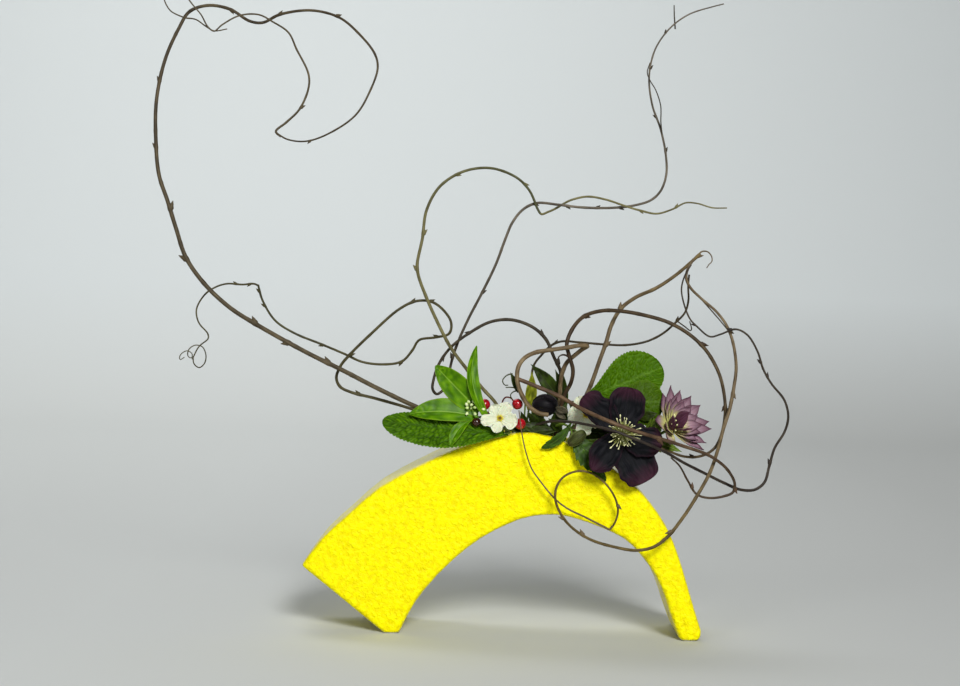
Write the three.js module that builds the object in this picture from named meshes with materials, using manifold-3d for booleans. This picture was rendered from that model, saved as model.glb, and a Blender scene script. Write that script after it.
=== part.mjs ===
// An ikebana arrangement: bare vines, hellebores, primroses, berries and leaves standing in water
// in a hollow arched vase. Millimetres, +Z up, the vase's rough face towards -Y.
import * as THREE from 'three';
import { mergeVertices } from 'three/addons/utils/BufferGeometryUtils.js';
import Module from 'manifold-3d';

const wasm = await Module();
wasm.setup();

// ---------------------------------------------------------------- driving dimensions
const vaseDepth = 70;
const wall = 6;
const edgeRound = 2;
const mouth = { left: -16, right: 62, halfDepth: 22, corner: 10, low: 122 };
const waterLevel = 131;
const clearance = 0.3;
const bladeThickness = 0.7;

// Stems and leaves are laid out as they are seen from a standing viewer in front of the vase. Each
// point is a reading on the upright middle plane of the vase, pushed along the line of sight to
// its own depth.
const eye = { x: -17, y: -1337, z: 267 };

function seen([x, z, y]) {
  const reach = (y - eye.y) / -eye.y;
  return new THREE.Vector3(eye.x + (x - eye.x) * reach, y, eye.z + (z - eye.z) * reach);
}

// The flowers are read on the plane of the vase's front face instead.
function seenInFront([x, z, y]) {
  const reach = (y - eye.y) / (-vaseDepth / 2 - eye.y);
  return new THREE.Vector3(eye.x + (x - eye.x) * reach, y, eye.z + (z - eye.z) * reach);
}

// ---------------------------------------------------------------- solids
function toSolid(geometry) {
  const bare = geometry.clone();
  bare.deleteAttribute('normal');
  bare.deleteAttribute('uv');
  const merged = mergeVertices(bare, 1e-4);
  return new wasm.Manifold(new wasm.Mesh({
    numProp: 3,
    vertProperties: Float32Array.from(merged.attributes.position.array),
    triVerts: Uint32Array.from(merged.index.array),
  }));
}

function toGeometry(solid) {
  const mesh = solid.getMesh();
  const geometry = new THREE.BufferGeometry();
  geometry.setAttribute('position', new THREE.BufferAttribute(Float32Array.from(mesh.vertProperties), 3));
  geometry.setIndex(new THREE.BufferAttribute(Uint32Array.from(mesh.triVerts), 1));
  geometry.computeVertexNormals();
  return geometry;
}

// Joins pieces that grow together; the largest body is kept.
function fuse(geometries) {
  let whole = toSolid(geometries[0]);
  for (const geometry of geometries.slice(1)) whole = whole.add(toSolid(geometry));
  const bodies = whole.decompose();
  bodies.sort((a, b) => b.volume() - a.volume());
  return toGeometry(bodies[0]);
}

function closedGeometry(points, triangles) {
  const geometry = new THREE.BufferGeometry();
  geometry.setFromPoints(points);
  geometry.setIndex(triangles);
  return geometry;
}

// ---------------------------------------------------------------- stems
// radius: pairs of [share of the length, radius]
function radiusAt(radius, share) {
  let k = 1;
  while (k < radius.length - 1 && radius[k][0] < share) k += 1;
  const [fromShare, fromRadius] = radius[k - 1];
  const [toShare, toRadius] = radius[k];
  return THREE.MathUtils.mapLinear(share, fromShare, toShare, fromRadius, toRadius);
}

function routeCurve(strand) {
  const curve = new THREE.CatmullRomCurve3(strand.route, false, 'centripetal');
  curve.arcLengthDivisions = 12 * strand.route.length;
  return curve;
}

// Places along a curve where a ring is needed: after each bendLimit of turning, or each stretchLimit
// of length.
function ringPlaces(curve, bendLimit, stretchLimit) {
  const length = curve.getLength();
  const samples = Math.max(12, Math.round(length / 1.5));
  const places = [{ share: 0, tangent: curve.getTangentAt(0) }];
  for (let i = 1; i < samples; i += 1) {
    const share = i / samples;
    const tangent = curve.getTangentAt(share);
    const last = places[places.length - 1];
    const stretch = (share - last.share) * length;
    if (stretch > stretchLimit || last.tangent.angleTo(tangent) > bendLimit) places.push({ share, tangent });
  }
  const end = { share: 1, tangent: curve.getTangentAt(1) };
  const last = places[places.length - 1];
  if (places.length > 1 && (1 - last.share) * length < 0.3 * stretchLimit
    && last.tangent.angleTo(end.tangent) < 0.3 * bendLimit) places.pop();
  places.push(end);
  return places;
}

// A tapered round stem along a smooth curve, closed at both ends.
function stem(strand, swell = 0) {
  const { radius, sides = 5, bendLimit = 0.46, stretchLimit = 34 } = strand;
  const curve = routeCurve(strand);
  const places = ringPlaces(curve, bendLimit, stretchLimit);
  const rings = places.length - 1;
  const firstTangent = places[0].tangent;
  const normal = Math.abs(firstTangent.y) < 0.9 ? new THREE.Vector3(0, 1, 0) : new THREE.Vector3(1, 0, 0);
  normal.addScaledVector(firstTangent, -normal.dot(firstTangent)).normalize();
  const turned = new THREE.Quaternion();
  const points = [];
  const triangles = [];
  places.forEach(({ share, tangent }, i) => {
    if (i > 0) normal.applyQuaternion(turned.setFromUnitVectors(places[i - 1].tangent, tangent));
    const binormal = new THREE.Vector3().crossVectors(tangent, normal);
    const centre = curve.getPointAt(share);
    const r = radiusAt(radius, share) + swell;
    for (let j = 0; j < sides; j += 1) {
      const turn = (2 * Math.PI * j) / sides;
      const aside = normal.clone().multiplyScalar(Math.cos(turn)).addScaledVector(binormal, Math.sin(turn));
      points.push(centre.clone().addScaledVector(aside, r));
    }
  });
  for (let i = 0; i < rings; i += 1) {
    for (let j = 0; j < sides; j += 1) {
      const a = i * sides + j;
      const b = i * sides + ((j + 1) % sides);
      triangles.push(a, b, b + sides, a, b + sides, a + sides);
    }
  }
  const last = rings * sides;
  for (let j = 1; j < sides - 1; j += 1) {
    triangles.push(0, j + 1, j, last, last + j, last + j + 1);
  }
  return closedGeometry(points, triangles);
}

// A pointed bud that hugs a vine: read at [x, z], on the side given by lean (+1 left of the way
// the vine runs, -1 right of it).
function bud(strand, [x, z, lean, size = 1]) {
  const curve = routeCurve(strand);
  const steps = 20 * strand.route.length;
  let nearest = { gap: Infinity };
  for (let i = 0; i <= steps; i += 1) {
    const point = curve.getPointAt(i / steps);
    const reach = (point.y - eye.y) / -eye.y;
    const gap = Math.hypot(eye.x + (point.x - eye.x) / reach - x, eye.z + (point.z - eye.z) / reach - z);
    if (gap < nearest.gap) nearest = { gap, point, share: i / steps };
  }
  const along = curve.getTangentAt(nearest.share);
  const aside = new THREE.Vector3(-along.z, 0, along.x).normalize().multiplyScalar(lean);
  const r = radiusAt(strand.radius, nearest.share);
  const cone = new THREE.ConeGeometry(size * (0.5 * r + 0.6), size * (3.6 + 1.4 * r), 4);
  cone.translate(0, size * (1.1 + 0.4 * r), 0);
  const axis = along.clone().multiplyScalar(0.8).addScaledVector(aside, 0.55).normalize();
  cone.applyQuaternion(new THREE.Quaternion().setFromUnitVectors(new THREE.Vector3(0, 1, 0), axis));
  return cone.translate(nearest.point.x, nearest.point.y, nearest.point.z);
}

// ---------------------------------------------------------------- leaves and petals
// Outlines give the share of the half width at a share u of the length.
const outlines = {
  broadLeaf: (u) => Math.max(0.1, Math.sin(Math.PI * u ** 0.85) ** 0.8),
  lance: (u) => Math.max(0.12, Math.sin(Math.PI * u ** 0.8)),
  primulaLeaf: (u) => Math.max(0.2, Math.sin(Math.PI * Math.min(1, u ** 1.25 * 0.97 + 0.03)) ** 0.55),
  spoonLeaf: (u) => Math.max(0.2, Math.sin(Math.PI * Math.min(1, u ** 1.8 * 0.95 + 0.03)) ** 0.5),
  rosePetal: (u) => Math.max(0.18, Math.sin(Math.PI * Math.min(1, u ** 1.3 * 0.93)) ** 0.7),
  pointedPetal: (u) => Math.max(0.1, Math.sin(Math.PI * Math.min(1, u ** 1.1 * 0.98 + 0.02)) ** 0.85),
  heartPetal: (u) => Math.max(0.16, Math.sin(Math.PI * Math.min(1, u ** 1.45 * 0.8)) ** 0.9),
};

// A thin blade from root to tip. facing is the way its upper face looks. arch lifts the middle of
// its length, cup lifts its sides, teeth cuts its edge, notch cuts its tip, ripple waves its edge.
function blade({
  root, tip, facing, width, outline, rows = 8, columns = 4, arch = 0, cup = 0, teeth = 0,
  notch = 0, ripple = 0, thickness = bladeThickness,
}) {
  const along = tip.clone().sub(root);
  const length = along.length();
  along.normalize();
  const up = facing.clone().addScaledVector(along, -facing.dot(along)).normalize();
  const across = new THREE.Vector3().crossVectors(along, up);
  const middle = (u, v) => {
    const half = (width / 2) * outline(u);
    const reach = length * u * (1 - notch * (1 - Math.abs(v)) * u ** 6);
    const lift = arch * length * 4 * u * (1 - u) + cup * half * v * v
      + ripple * v * v * Math.sin(2 * Math.PI * 2.5 * u + v);
    return root.clone().addScaledVector(along, reach).addScaledVector(across, v * half)
      .addScaledVector(up, lift);
  };
  const faces = [[], []];
  const small = 1e-3;
  for (let i = 0; i <= rows; i += 1) {
    const u = i / rows;
    const cut = 1 - (i % 2 ? 0 : teeth) * (i === 0 || i === rows ? 0 : 1);
    for (let j = 0; j <= columns; j += 1) {
      const v = ((2 * j) / columns - 1) * cut;
      const along1 = middle(Math.min(1, u + small), v).sub(middle(Math.max(0, u - small), v));
      const across1 = middle(u, v + small).sub(middle(u, v - small));
      const normal = new THREE.Vector3().crossVectors(across1, along1).normalize();
      const point = middle(u, v);
      faces[0].push(point.clone().addScaledVector(normal, thickness / 2));
      faces[1].push(point.clone().addScaledVector(normal, -thickness / 2));
    }
  }
  const stride = columns + 1;
  const under = faces[0].length;
  const triangles = [];
  for (let i = 0; i < rows; i += 1) {
    for (let j = 0; j < columns; j += 1) {
      const a = i * stride + j;
      const b = a + 1;
      const c = a + stride;
      const d = c + 1;
      triangles.push(a, b, d, a, d, c, under + a, under + d, under + b, under + a, under + c, under + d);
    }
  }
  const rim = [];
  for (let j = 0; j < columns; j += 1) rim.push(j);
  for (let i = 0; i < rows; i += 1) rim.push(i * stride + columns);
  for (let j = columns; j > 0; j -= 1) rim.push(rows * stride + j);
  for (let i = rows; i > 0; i -= 1) rim.push(i * stride);
  rim.forEach((a, k) => {
    const b = rim[(k + 1) % rim.length];
    triangles.push(a, under + a, under + b, a, under + b, b);
  });
  return closedGeometry([...faces[0], ...faces[1]], triangles);
}

// A flower's own frame: origin at its middle, +Z the way it faces.
function flowerPlace(centre, facing, turn = 0) {
  const ahead = facing.clone().normalize();
  const side = new THREE.Vector3().crossVectors(new THREE.Vector3(0, 0, 1), ahead).normalize();
  const top = new THREE.Vector3().crossVectors(ahead, side);
  const place = new THREE.Matrix4().makeBasis(side, top, ahead).setPosition(centre);
  return place.multiply(new THREE.Matrix4().makeRotationZ(turn));
}

// A petal at an angle round the flower, opened from its axis by spread.
function petal({ angle, spread, inner = 1.5, lift = 0, length, width, ...look }) {
  const outward = new THREE.Vector3(Math.cos(angle), Math.sin(angle), 0);
  const ahead = new THREE.Vector3(0, 0, 1);
  const along = outward.clone().multiplyScalar(Math.sin(spread)).addScaledVector(ahead, Math.cos(spread));
  const facing = ahead.clone().multiplyScalar(Math.sin(spread)).addScaledVector(outward, -Math.cos(spread));
  const root = outward.clone().multiplyScalar(inner).addScaledVector(ahead, lift);
  return blade({ root, tip: root.clone().addScaledVector(along, length), facing, width, ...look });
}

function ball(radius, centre, detail = 1) {
  return new THREE.IcosahedronGeometry(radius, detail).translate(centre.x, centre.y, centre.z);
}

// ---------------------------------------------------------------- the finished sub-parts
const arrangement = new THREE.Group();
const wetStems = [];

function addPart(name, geometry, material) {
  const mesh = new THREE.Mesh(geometry, material);
  mesh.name = name;
  arrangement.add(mesh);
  return mesh;
}

function finish(color, roughness) {
  return new THREE.MeshStandardMaterial({ color, roughness, metalness: 0 });
}

const finishes = {
  glaze: finish(0xfcf208, 0.35),
  water: finish(0xbfd6d8, 0.05),
  brownBark: finish(0x5a4634, 0.7),
  oliveBark: finish(0x75683c, 0.65),
  greyBark: finish(0x4c4337, 0.7),
  redBark: finish(0x4a2c26, 0.65),
  darkBark: finish(0x2e2824, 0.7),
  tanBark: finish(0x7c654c, 0.7),
  primulaGreen: finish(0x4f8a10, 0.6),
  deepPrimulaGreen: finish(0x3d7410, 0.6),
  glossyGreen: finish(0x4b8c0c, 0.35),
  budWhite: finish(0xdfe8c8, 0.5),
  berryRed: finish(0xc01824, 0.2),
  twigRed: finish(0x5a2a20, 0.6),
  petalWhite: finish(0xf2f2ea, 0.5),
  eyeYellow: finish(0xd8b81c, 0.6),
  stemGreen: finish(0x6d8a3c, 0.55),
  nearBlack: finish(0x221a24, 0.5),
  stamenCream: finish(0xe2ddb4, 0.6),
  nectaryGreen: finish(0x7d8238, 0.5),
  lilac: finish(0xa0788c, 0.5),
  limeCentre: finish(0xc8cc58, 0.5),
  greyBud: finish(0x5c5a4c, 0.55),
  limeLeaf: finish(0x86901c, 0.5),
  darkLeaf: finish(0x24420e, 0.5),
};

// Every stem whose base stands in the water is remembered, so that the water gets its hole.
function growing(strand) {
  wetStems.push(strand);
  return strand;
}

function addVine(name, material, strands) {
  const pieces = [];
  for (const strand of strands) {
    pieces.push(stem(strand));
    for (const place of strand.buds ?? []) pieces.push(bud(strand, place));
  }
  return addPart(name, fuse(pieces), material);
}

// ---------------------------------------------------------------- vase and water
// The arch runs from its broad left foot to its slim right foot. Each station is a line across
// it: [outer x, outer z, inner x, inner z].
const archStations = [
  [-147.5, 49.5, -72, 1], [-133, 70, -63, 20], [-112.5, 90, -50, 38.5], [-90, 110.5, -30, 59.5],
  [-60, 127.8, -12, 74], [-30, 142.7, 5, 83.5], [0, 152, 20, 90], [25, 154.6, 36, 92.8],
  [50, 148, 50, 92.5], [75, 135.8, 66, 88.4], [97, 121.5, 82, 82.8], [113, 106, 97, 75.5],
  [127, 87, 109, 64], [137, 65, 119.5, 50], [144, 44, 127, 34.5], [150.5, 24, 132, 20],
];
const rightTip = { outerX: 156, outerZ: 8, heelX: 151, toeX: 143.5, innerX: 138, innerZ: 5 };
const leftFoot = { heelX: -84, toeX: -73.5 };

function smoothThrough(points, divisions) {
  return new THREE.SplineCurve(points.map(([x, z]) => new THREE.Vector2(x, z))).getPoints(divisions);
}

function vaseOutline() {
  const outer = archStations.map(([x, z]) => [x, z]);
  outer.push([rightTip.outerX, rightTip.outerZ]);
  const inner = archStations.map(([, , x, z]) => [x, z]).reverse();
  inner.unshift([rightTip.innerX, rightTip.innerZ]);
  const shape = new THREE.Shape(smoothThrough(outer, 32));
  shape.quadraticCurveTo(rightTip.outerX + 1, 0, rightTip.heelX, 0);
  shape.lineTo(rightTip.toeX, 0);
  shape.quadraticCurveTo(rightTip.innerX + 1, 0, rightTip.innerX, rightTip.innerZ);
  for (const point of smoothThrough(inner, 28).slice(1)) shape.lineTo(point.x, point.y);
  shape.lineTo(leftFoot.toeX, 0);
  shape.lineTo(leftFoot.heelX, 0);
  return shape;
}

// The hollow keeps one wall thickness inside the arch. The slim right foot is solid near its end.
function hollowOutline(inset) {
  const outer = [];
  const inner = [];
  for (const [ox, oz, ix, iz] of archStations.slice(0, -1)) {
    const span = Math.hypot(ox - ix, oz - iz);
    const share = inset / span;
    outer.push([ox + (ix - ox) * share, oz + (iz - oz) * share]);
    inner.push([ix + (ox - ix) * share, iz + (oz - iz) * share]);
  }
  // the slanted end wall of the left foot
  const slide = inset * 1.15;
  outer[0] = [outer[0][0] + slide * 0.72, outer[0][1] + slide * 0.8];
  inner[0] = [inner[0][0] + slide * 0.4, inner[0][1] + slide * 0.95];
  const shape = new THREE.Shape(smoothThrough(outer, 18));
  for (const point of smoothThrough(inner.reverse(), 16)) shape.lineTo(point.x, point.y);
  return shape;
}

// Shapes are drawn in x and z and extruded through the vase's depth.
function throughDepth(shape, depth, bevel = 0) {
  const rounded = {
    bevelEnabled: bevel > 0, bevelThickness: bevel, bevelSize: bevel, bevelOffset: -bevel,
    bevelSegments: 1,
  };
  const straight = { depth: depth - 2 * bevel, curveSegments: 4 };
  const geometry = new THREE.ExtrudeGeometry(shape, { ...straight, ...rounded });
  return geometry.rotateX(Math.PI / 2).translate(0, depth / 2 - bevel, 0);
}

function mouthCutter() {
  const { left, right, halfDepth, corner, low } = mouth;
  const shape = new THREE.Shape();
  shape.moveTo(left + corner, -halfDepth);
  shape.lineTo(right - corner, -halfDepth);
  shape.absarc(right - corner, -halfDepth + corner, corner, -Math.PI / 2, 0, false);
  shape.absarc(right - corner, halfDepth - corner, corner, 0, Math.PI / 2, false);
  shape.absarc(left + corner, halfDepth - corner, corner, Math.PI / 2, Math.PI, false);
  shape.absarc(left + corner, -halfDepth + corner, corner, Math.PI, 1.5 * Math.PI, false);
  return new THREE.ExtrudeGeometry(shape, { depth: 60, curveSegments: 4, bevelEnabled: false })
    .translate(0, 0, low);
}

function buildVase() {
  const outside = toSolid(throughDepth(vaseOutline(), vaseDepth, edgeRound));
  const hollow = toSolid(throughDepth(hollowOutline(wall), vaseDepth - 2 * wall));
  addPart('vase', toGeometry(outside.subtract(hollow).subtract(toSolid(mouthCutter()))), finishes.glaze);
}

// The water fills the hollow up to its level, and each stem stands in a plain hole in it.
function buildWater() {
  const fill = toSolid(throughDepth(hollowOutline(wall + clearance), vaseDepth - 2 * (wall + clearance)));
  const above = new THREE.BoxGeometry(500, 200, 100).translate(0, 0, waterLevel + 50);
  let water = fill.subtract(toSolid(above));
  for (const strand of wetStems) {
    const thickest = strand.radius[0][1];
    const start = strand.route[0];
    const deeper = start.clone().addScaledVector(strand.route[1].clone().sub(start).normalize(), -0.6);
    const route = [deeper, ...strand.route.slice(0, 4)];
    const hole = { ...strand, route, radius: [[0, thickest], [1, thickest]] };
    water = water.subtract(toSolid(stem(hole, clearance + 0.16 * thickest)));
  }
  const bodies = water.decompose().sort((a, b) => b.volume() - a.volume());
  addPart('water', toGeometry(bodies[0]), finishes.water);
}

// ---------------------------------------------------------------- vines
function buildLeftSweepingVine() {
  const sweep = growing({
    radius: [[0, 1.85], [0.35, 1.75], [0.6, 1.4], [0.75, 1.1], [0.87, 0.85], [1, 0.6]],
    route: [
      [12, 108, -1], [8, 124, -1], [-3, 143, -1], [-16, 151.8, -1], [-40, 160.5, -1.5], [-66, 170, -2],
      [-93, 182, -1.5], [-124, 197, 0], [-150, 209, -2], [-190, 230, -6], [-210, 242, -7.5],
      [-230, 259.7, -8], [-245, 280, -7], [-253, 302, -6], [-260, 323, -5], [-267, 343, -3],
      [-270, 371, 0], [-270, 400, 4], [-264, 431, 10], [-254, 455, 15], [-246, 468, 18],
      [-232, 473, 20], [-215, 470.5, 20], [-200, 462, 19], [-190, 461, 18], [-177, 467.5, 15],
      [-153, 471.3, 8], [-131.5, 466.5, 0], [-116.5, 455, -7], [-103.5, 439.5, -12], [-101, 429, -14],
      [-106.5, 411, -18], [-117, 392.5, -20], [-136, 378.5, -18], [-154, 371.5, -12], [-169, 372.5, -7],
      [-178, 377.5, -4],
    ].map(seen),
    buds: [[-247, 277, 1, 1.5], [-255, 318, -1, 1.5], [-190, 231, -1, 1.4], [-165, 216, 1, 1.3],
      [-133, 203, -1, 1.3], [-271, 364, 1], [-268, 415, 1], [-214, 470, -1], [-177, 468, 1],
      [-133, 468, 1, 1.2], [-151, 371, 1]],
  });
  const back = {
    radius: [[0, 0.95], [1, 0.5]],
    sides: 4,
    route: [
      [-174, 374.5, -5], [-178, 378.2, -4], [-170, 385.5, -1], [-160, 396, 2], [-153.6, 412.5, 4],
      [-154, 423, 5], [-163.5, 441.5, 7], [-170, 454, 9], [-182.5, 462, 11], [-193, 467, 12.5],
      [-207.5, 466, 13], [-221, 458.5, 12], [-227, 453.5, 11], [-232, 457, 10], [-237, 465.5, 9],
      [-246, 476, 8], [-256, 491.5, 8],
    ].map(seen),
    buds: [[-159, 397, -1, 1.1]],
  };
  const hookLeft = {
    radius: [[0, 0.6], [1, 0.45]],
    sides: 4,
    route: [
      [-249, 463, 16], [-256, 465.5, 14], [-261, 468.5, 12], [-265.5, 476, 11], [-267, 484, 10],
    ].map(seen),
  };
  const hookRight = {
    radius: [[0, 0.6], [1, 0.45]],
    sides: 4,
    route: [
      [-249, 463, 16], [-241, 462, 13], [-234, 457.5, 12], [-227, 453.8, 11.3], [-217, 455.5, 11],
    ].map(seen),
  };
  addVine('left_sweeping_vine', finishes.brownBark, [sweep, back, hookLeft, hookRight]);
}

function buildLeftLoopedVine() {
  const loop = growing({
    radius: [[0, 1.3], [0.3, 1.2], [0.6, 1.05], [1, 0.85]],
    route: [
      [10, 108, 10], [6, 124, 10], [-6, 144, 9], [-18, 152, 9], [-42, 159.5, 10], [-69, 168, 10],
      [-98, 175.5, 10], [-115, 179.3, 9], [-124, 183.5, 8.5], [-127, 190, 8], [-124, 199.5, 6],
      [-117, 208.5, 4], [-101, 225, 3], [-80, 244.4, 4], [-67, 251, 6], [-55, 250.8, 7.5],
      [-45, 243.8, 9], [-39.6, 235, 9], [-41, 226.7, 9.5], [-51.7, 223.5, 11], [-64, 221, 12],
      [-69, 213, 13], [-76.5, 204.5, 13], [-89, 201.7, 13], [-107, 203, 12], [-121.5, 209, 10],
      [-139.5, 216, 6], [-160.5, 224, 3], [-175.5, 233.5, 2], [-185.5, 249, 2], [-189, 260.5, 2],
    ].map(seen),
    buds: [[-109, 178.5, -1, 1.1], [-118, 209.5, -1, 1.1], [-70, 251.5, 1], [-56, 251.5, 1],
      [-50, 223.5, -1], [-77, 203.5, 1, 1.1], [-138, 215.5, 1], [-184, 244, 1], [-188, 255, 1]],
  });
  const run = {
    radius: [[0, 0.8], [0.5, 0.65], [1, 0.5]],
    sides: 4,
    route: [
      [-188.4, 259.5, 2], [-192, 261, 2.3], [-201, 260.2, 3], [-213, 260.5, 4], [-222, 257.5, 4],
      [-230, 251.5, 3], [-236, 240, 1.5], [-234, 230, 0], [-227, 221.8, -2], [-226.5, 218, -3],
      [-233.5, 211.5, -4], [-238.5, 201.5, -5],
    ].map(seen),
    buds: [[-206, 260, -1, 0.9], [-195, 261.3, 1, 0.9]],
  };
  const curl = {
    radius: [[0, 0.5], [1, 0.35]],
    sides: 4,
    route: [
      [-237.8, 203.3, -4.8], [-237.2, 198.5, -5.5], [-233, 195.3, -7], [-228.8, 199, -8.5],
      [-228, 205.5, -9.5], [-231, 211.5, -10.5], [-236.5, 212.5, -11.5], [-241.3, 209, -12.5],
      [-241.8, 204, -13], [-239, 202.6, -13.8], [-238.7, 206, -15], [-243, 208, -16], [-247.8, 204.5, -17],
      [-248, 201, -17.5], [-244.5, 203, -18],
    ].map(seen),
  };
  addVine('left_looped_vine', finishes.oliveBark, [loop, run, curl]);
}

function buildMiddleHoopedVine() {
  const hoop = growing({
    radius: [[0, 1.4], [0.35, 1.35], [0.8, 1.1], [1, 0.95]],
    route: [
      [7, 104, 6], [7, 128, 6], [5, 154, 6], [-3, 173, 4.5], [-13.5, 184.5, 4], [-27, 200, 3.5],
      [-39.5, 216, 2.5], [-49.8, 234.5, 1], [-59.6, 255, 0], [-66, 271.5, 0], [-66.9, 279.5, 0],
      [-63.4, 299.5, 1], [-60.8, 321, 3], [-51, 339.5, 6], [-33.4, 351.4, 9], [-12.2, 354.6, 10],
      [7.9, 347.8, 9], [18, 338, 6.5], [24.5, 324.3, 3], [26.6, 320.8, 2.4],
    ].map(seen),
    buds: [[-68.5, 275, 1, 1.2], [-62, 303, -1, 1.2], [-38, 349, -1], [14, 343, 1], [-25, 198, -1, 1.2]],
  });
  const twine = {
    radius: [[0, 0.9], [0.6, 0.8], [1, 0.5]],
    sides: 4,
    route: [
      [25.4, 322.6, 2.8], [27.5, 320.4, 2.6], [33, 322.4, 5],
      [38, 324.8, 9.8], [44, 328.6, 12.2], [50, 331.8, 12],
      [62.8, 334.8, 10], [77, 332.8, 8], [91.2, 328.5, 4.5], [104.3, 325, 4], [116, 323.1, 3],
      [128, 326.8, 1], [138, 332, -1], [146.9, 331.8, -3], [158.7, 328.8, -6], [170, 328.9, -9],
    ].map(seen),
    buds: [[131, 328.4, 1, 1], [104, 325, -1, 0.9]],
  };
  addVine('middle_hooped_vine', finishes.oliveBark, [hoop, twine]);
}

function buildTallVine() {
  const climb = growing({
    radius: [[0, 1.45], [0.22, 1.3], [0.3, 1.1], [0.55, 1.1], [0.75, 0.95], [1, 0.5]],
    route: [
      [46, 104, 6], [46, 128, 6], [46, 158, 6], [46.2, 190, 6], [45.5, 200, 5.5], [40.4, 210.5, 5],
      [33.4, 224.7, 5], [22.6, 233.7, 6], [6.5, 238.6, 8], [-9.5, 236.5, 9], [-25, 227.8, 8],
      [-39.5, 216, 8], [-48.5, 202.5, 7], [-52, 191, 6.5], [-52.6, 183.5, 6.5], [-49.5, 179.8, 7],
      [-45, 182.5, 9], [-41, 190, 12], [-39, 203, 14], [-35, 217.5, 14], [-26.7, 237.8, 13],
      [-16.5, 258.7, 11], [-6.4, 281, 9], [0.5, 301, 7], [5.5, 313.5, 7], [13.8, 324, 7.5],
      [24, 328.8, 8], [40, 328, 6], [58.2, 326.4, 6], [81.8, 326.7, 8], [98.3, 328.9, 9.5],
      [111.4, 333.4, 10], [118.5, 340.5, 10], [122.5, 353, 10], [121.8, 368, 8.5], [117.1, 388, 5],
      [110.4, 405.4, 0], [107.2, 424, -4], [108.2, 438, -6], [112.2, 451, -6], [122.4, 465.5, -4],
      [136.3, 476, 0], [153.9, 482.2, 4], [162.5, 484.6, 6],
    ].map(seen),
    buds: [[31, 228.5, -1], [43.5, 206, -1, 1.4], [-26, 228, -1], [-46, 209, 1], [-37.5, 208, 1, 1.2],
      [-16.5, 259, -1], [22, 329, -1], [47, 327, -1], [70, 326, 1, 0.9], [88, 328, -1], [121, 371, -1],
      [113, 397, 1, 0.9], [108, 434, -1], [119, 461, 1, 0.9]],
  });
  const twig = {
    radius: [[0, 0.6], [1, 0.42]],
    sides: 4,
    route: [[126, 464.5, -3], [125, 475, -2.5], [124.6, 482.6, -2]].map(seen),
  };
  const tendril = {
    radius: [[0, 0.5], [1, 0.4]],
    sides: 4,
    route: [
      [118.6, 383, 6], [117.2, 393, 1], [116.6, 406, -4], [112.3, 418, -7], [107.8, 425, -6.6],
      [105.6, 431, -7], [107.6, 438.5, -6.5],
    ].map(seen),
  };
  addVine('tall_vine', finishes.greyBark, [climb, twig, tendril]);
}

function buildCrestVine() {
  const crest = growing({
    radius: [[0, 1.75], [0.6, 1.65], [1, 1.25]],
    route: [
      [54, 104, 14], [54, 128, 14], [56, 152, 14], [62, 172, 14], [69.7, 191, 13], [75.5, 209, 12],
      [80, 222.6, 12], [83.6, 236, 13], [90.4, 249, 13], [101.7, 258.3, 12], [117.5, 266, 10],
      [133, 277, 9], [143, 286, 9], [150.5, 293.2, 9],
    ].map(seen),
    buds: [[90, 249.5, 1, 1.3], [81, 221, -1, 1.2], [149, 291, -1, 1.1]],
  });
  const driedCurl = {
    radius: [[0, 0.75], [0.5, 0.5], [1, 0.4]],
    sides: 4,
    route: [
      [149, 292, 9], [151.5, 294.9, 9], [156, 295, 8.5], [159.3, 291.5, 8], [159.6, 287.5, 7],
      [157.3, 285, 6.4], [155.8, 282.4, 6],
    ].map(seen),
  };
  const hanging = {
    radius: [[0, 1.1], [0.12, 1.05], [0.3, 1.45], [0.55, 1.3], [0.72, 1.1], [0.88, 0.8], [1, 0.75]],
    route: [
      [145.5, 289, 9], [141.6, 282, 7], [140.2, 275, 6], [143, 268, 5], [153, 258.3, 4], [164, 249.4, 2],
      [172.7, 238.4, 0], [177.9, 225.3, -2], [180.9, 207, -4], [179.8, 192.4, -6], [176.9, 174.4, -9.5],
      [172.4, 158.2, -15], [168.9, 143, -21], [163.3, 125, -32], [154, 106.7, -41], [143, 88.5, -46],
      [132, 74, -49], [121.5, 65.8, -50], [108, 62.8, -51], [92.6, 64.7, -51], [72.6, 70.2, -51],
      [57.5, 79.5, -50], [49, 89.5, -49.5], [44.5, 100.5, -49], [45.2, 110.5, -48], [50.5, 118.5, -47.5],
      [62, 123.2, -47], [73, 121.2, -46.5], [83, 113.8, -46], [90.7, 102.7, -45.5], [93.1, 92.5, -45],
      [90.8, 83.5, -44.5], [87.8, 79, -44.5],
    ].map(seen),
    buds: [[179.5, 186, 1, 1.1], [135, 78, -1, 1.3], [66, 72.5, -1, 1.3], [51.5, 86, 1, 1.1],
      [92.5, 97, 1, 1.2], [174, 234, 1, 1.1]],
  };
  const inwards = {
    radius: [[0, 0.8], [1, 0.4]],
    sides: 4,
    route: [
      [89.3, 81.3, -44.5], [87, 78.6, -44.5], [82.6, 80.5, -44.5], [68, 87.5, -44.3], [53.6, 94.1, -44.2],
      [44, 101.3, -44], [32, 115, -43.5], [25.4, 124.3, -43], [20.4, 137.7, -42.5], [17.1, 151.6, -41.5],
      [14.4, 169, -40],
    ].map(seen),
  };
  const tendril = {
    radius: [[0, 0.55], [1, 0.45]],
    sides: 4,
    route: [
      [150, 260.8, 4.5], [156.5, 254, 6.2], [164, 246, 5.5], [170, 239.3, 3], [174.6, 233.8, -0.6],
    ].map(seen),
  };
  addVine('crest_vine', finishes.brownBark, [crest, driedCurl, hanging, inwards, tendril]);
}

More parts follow.
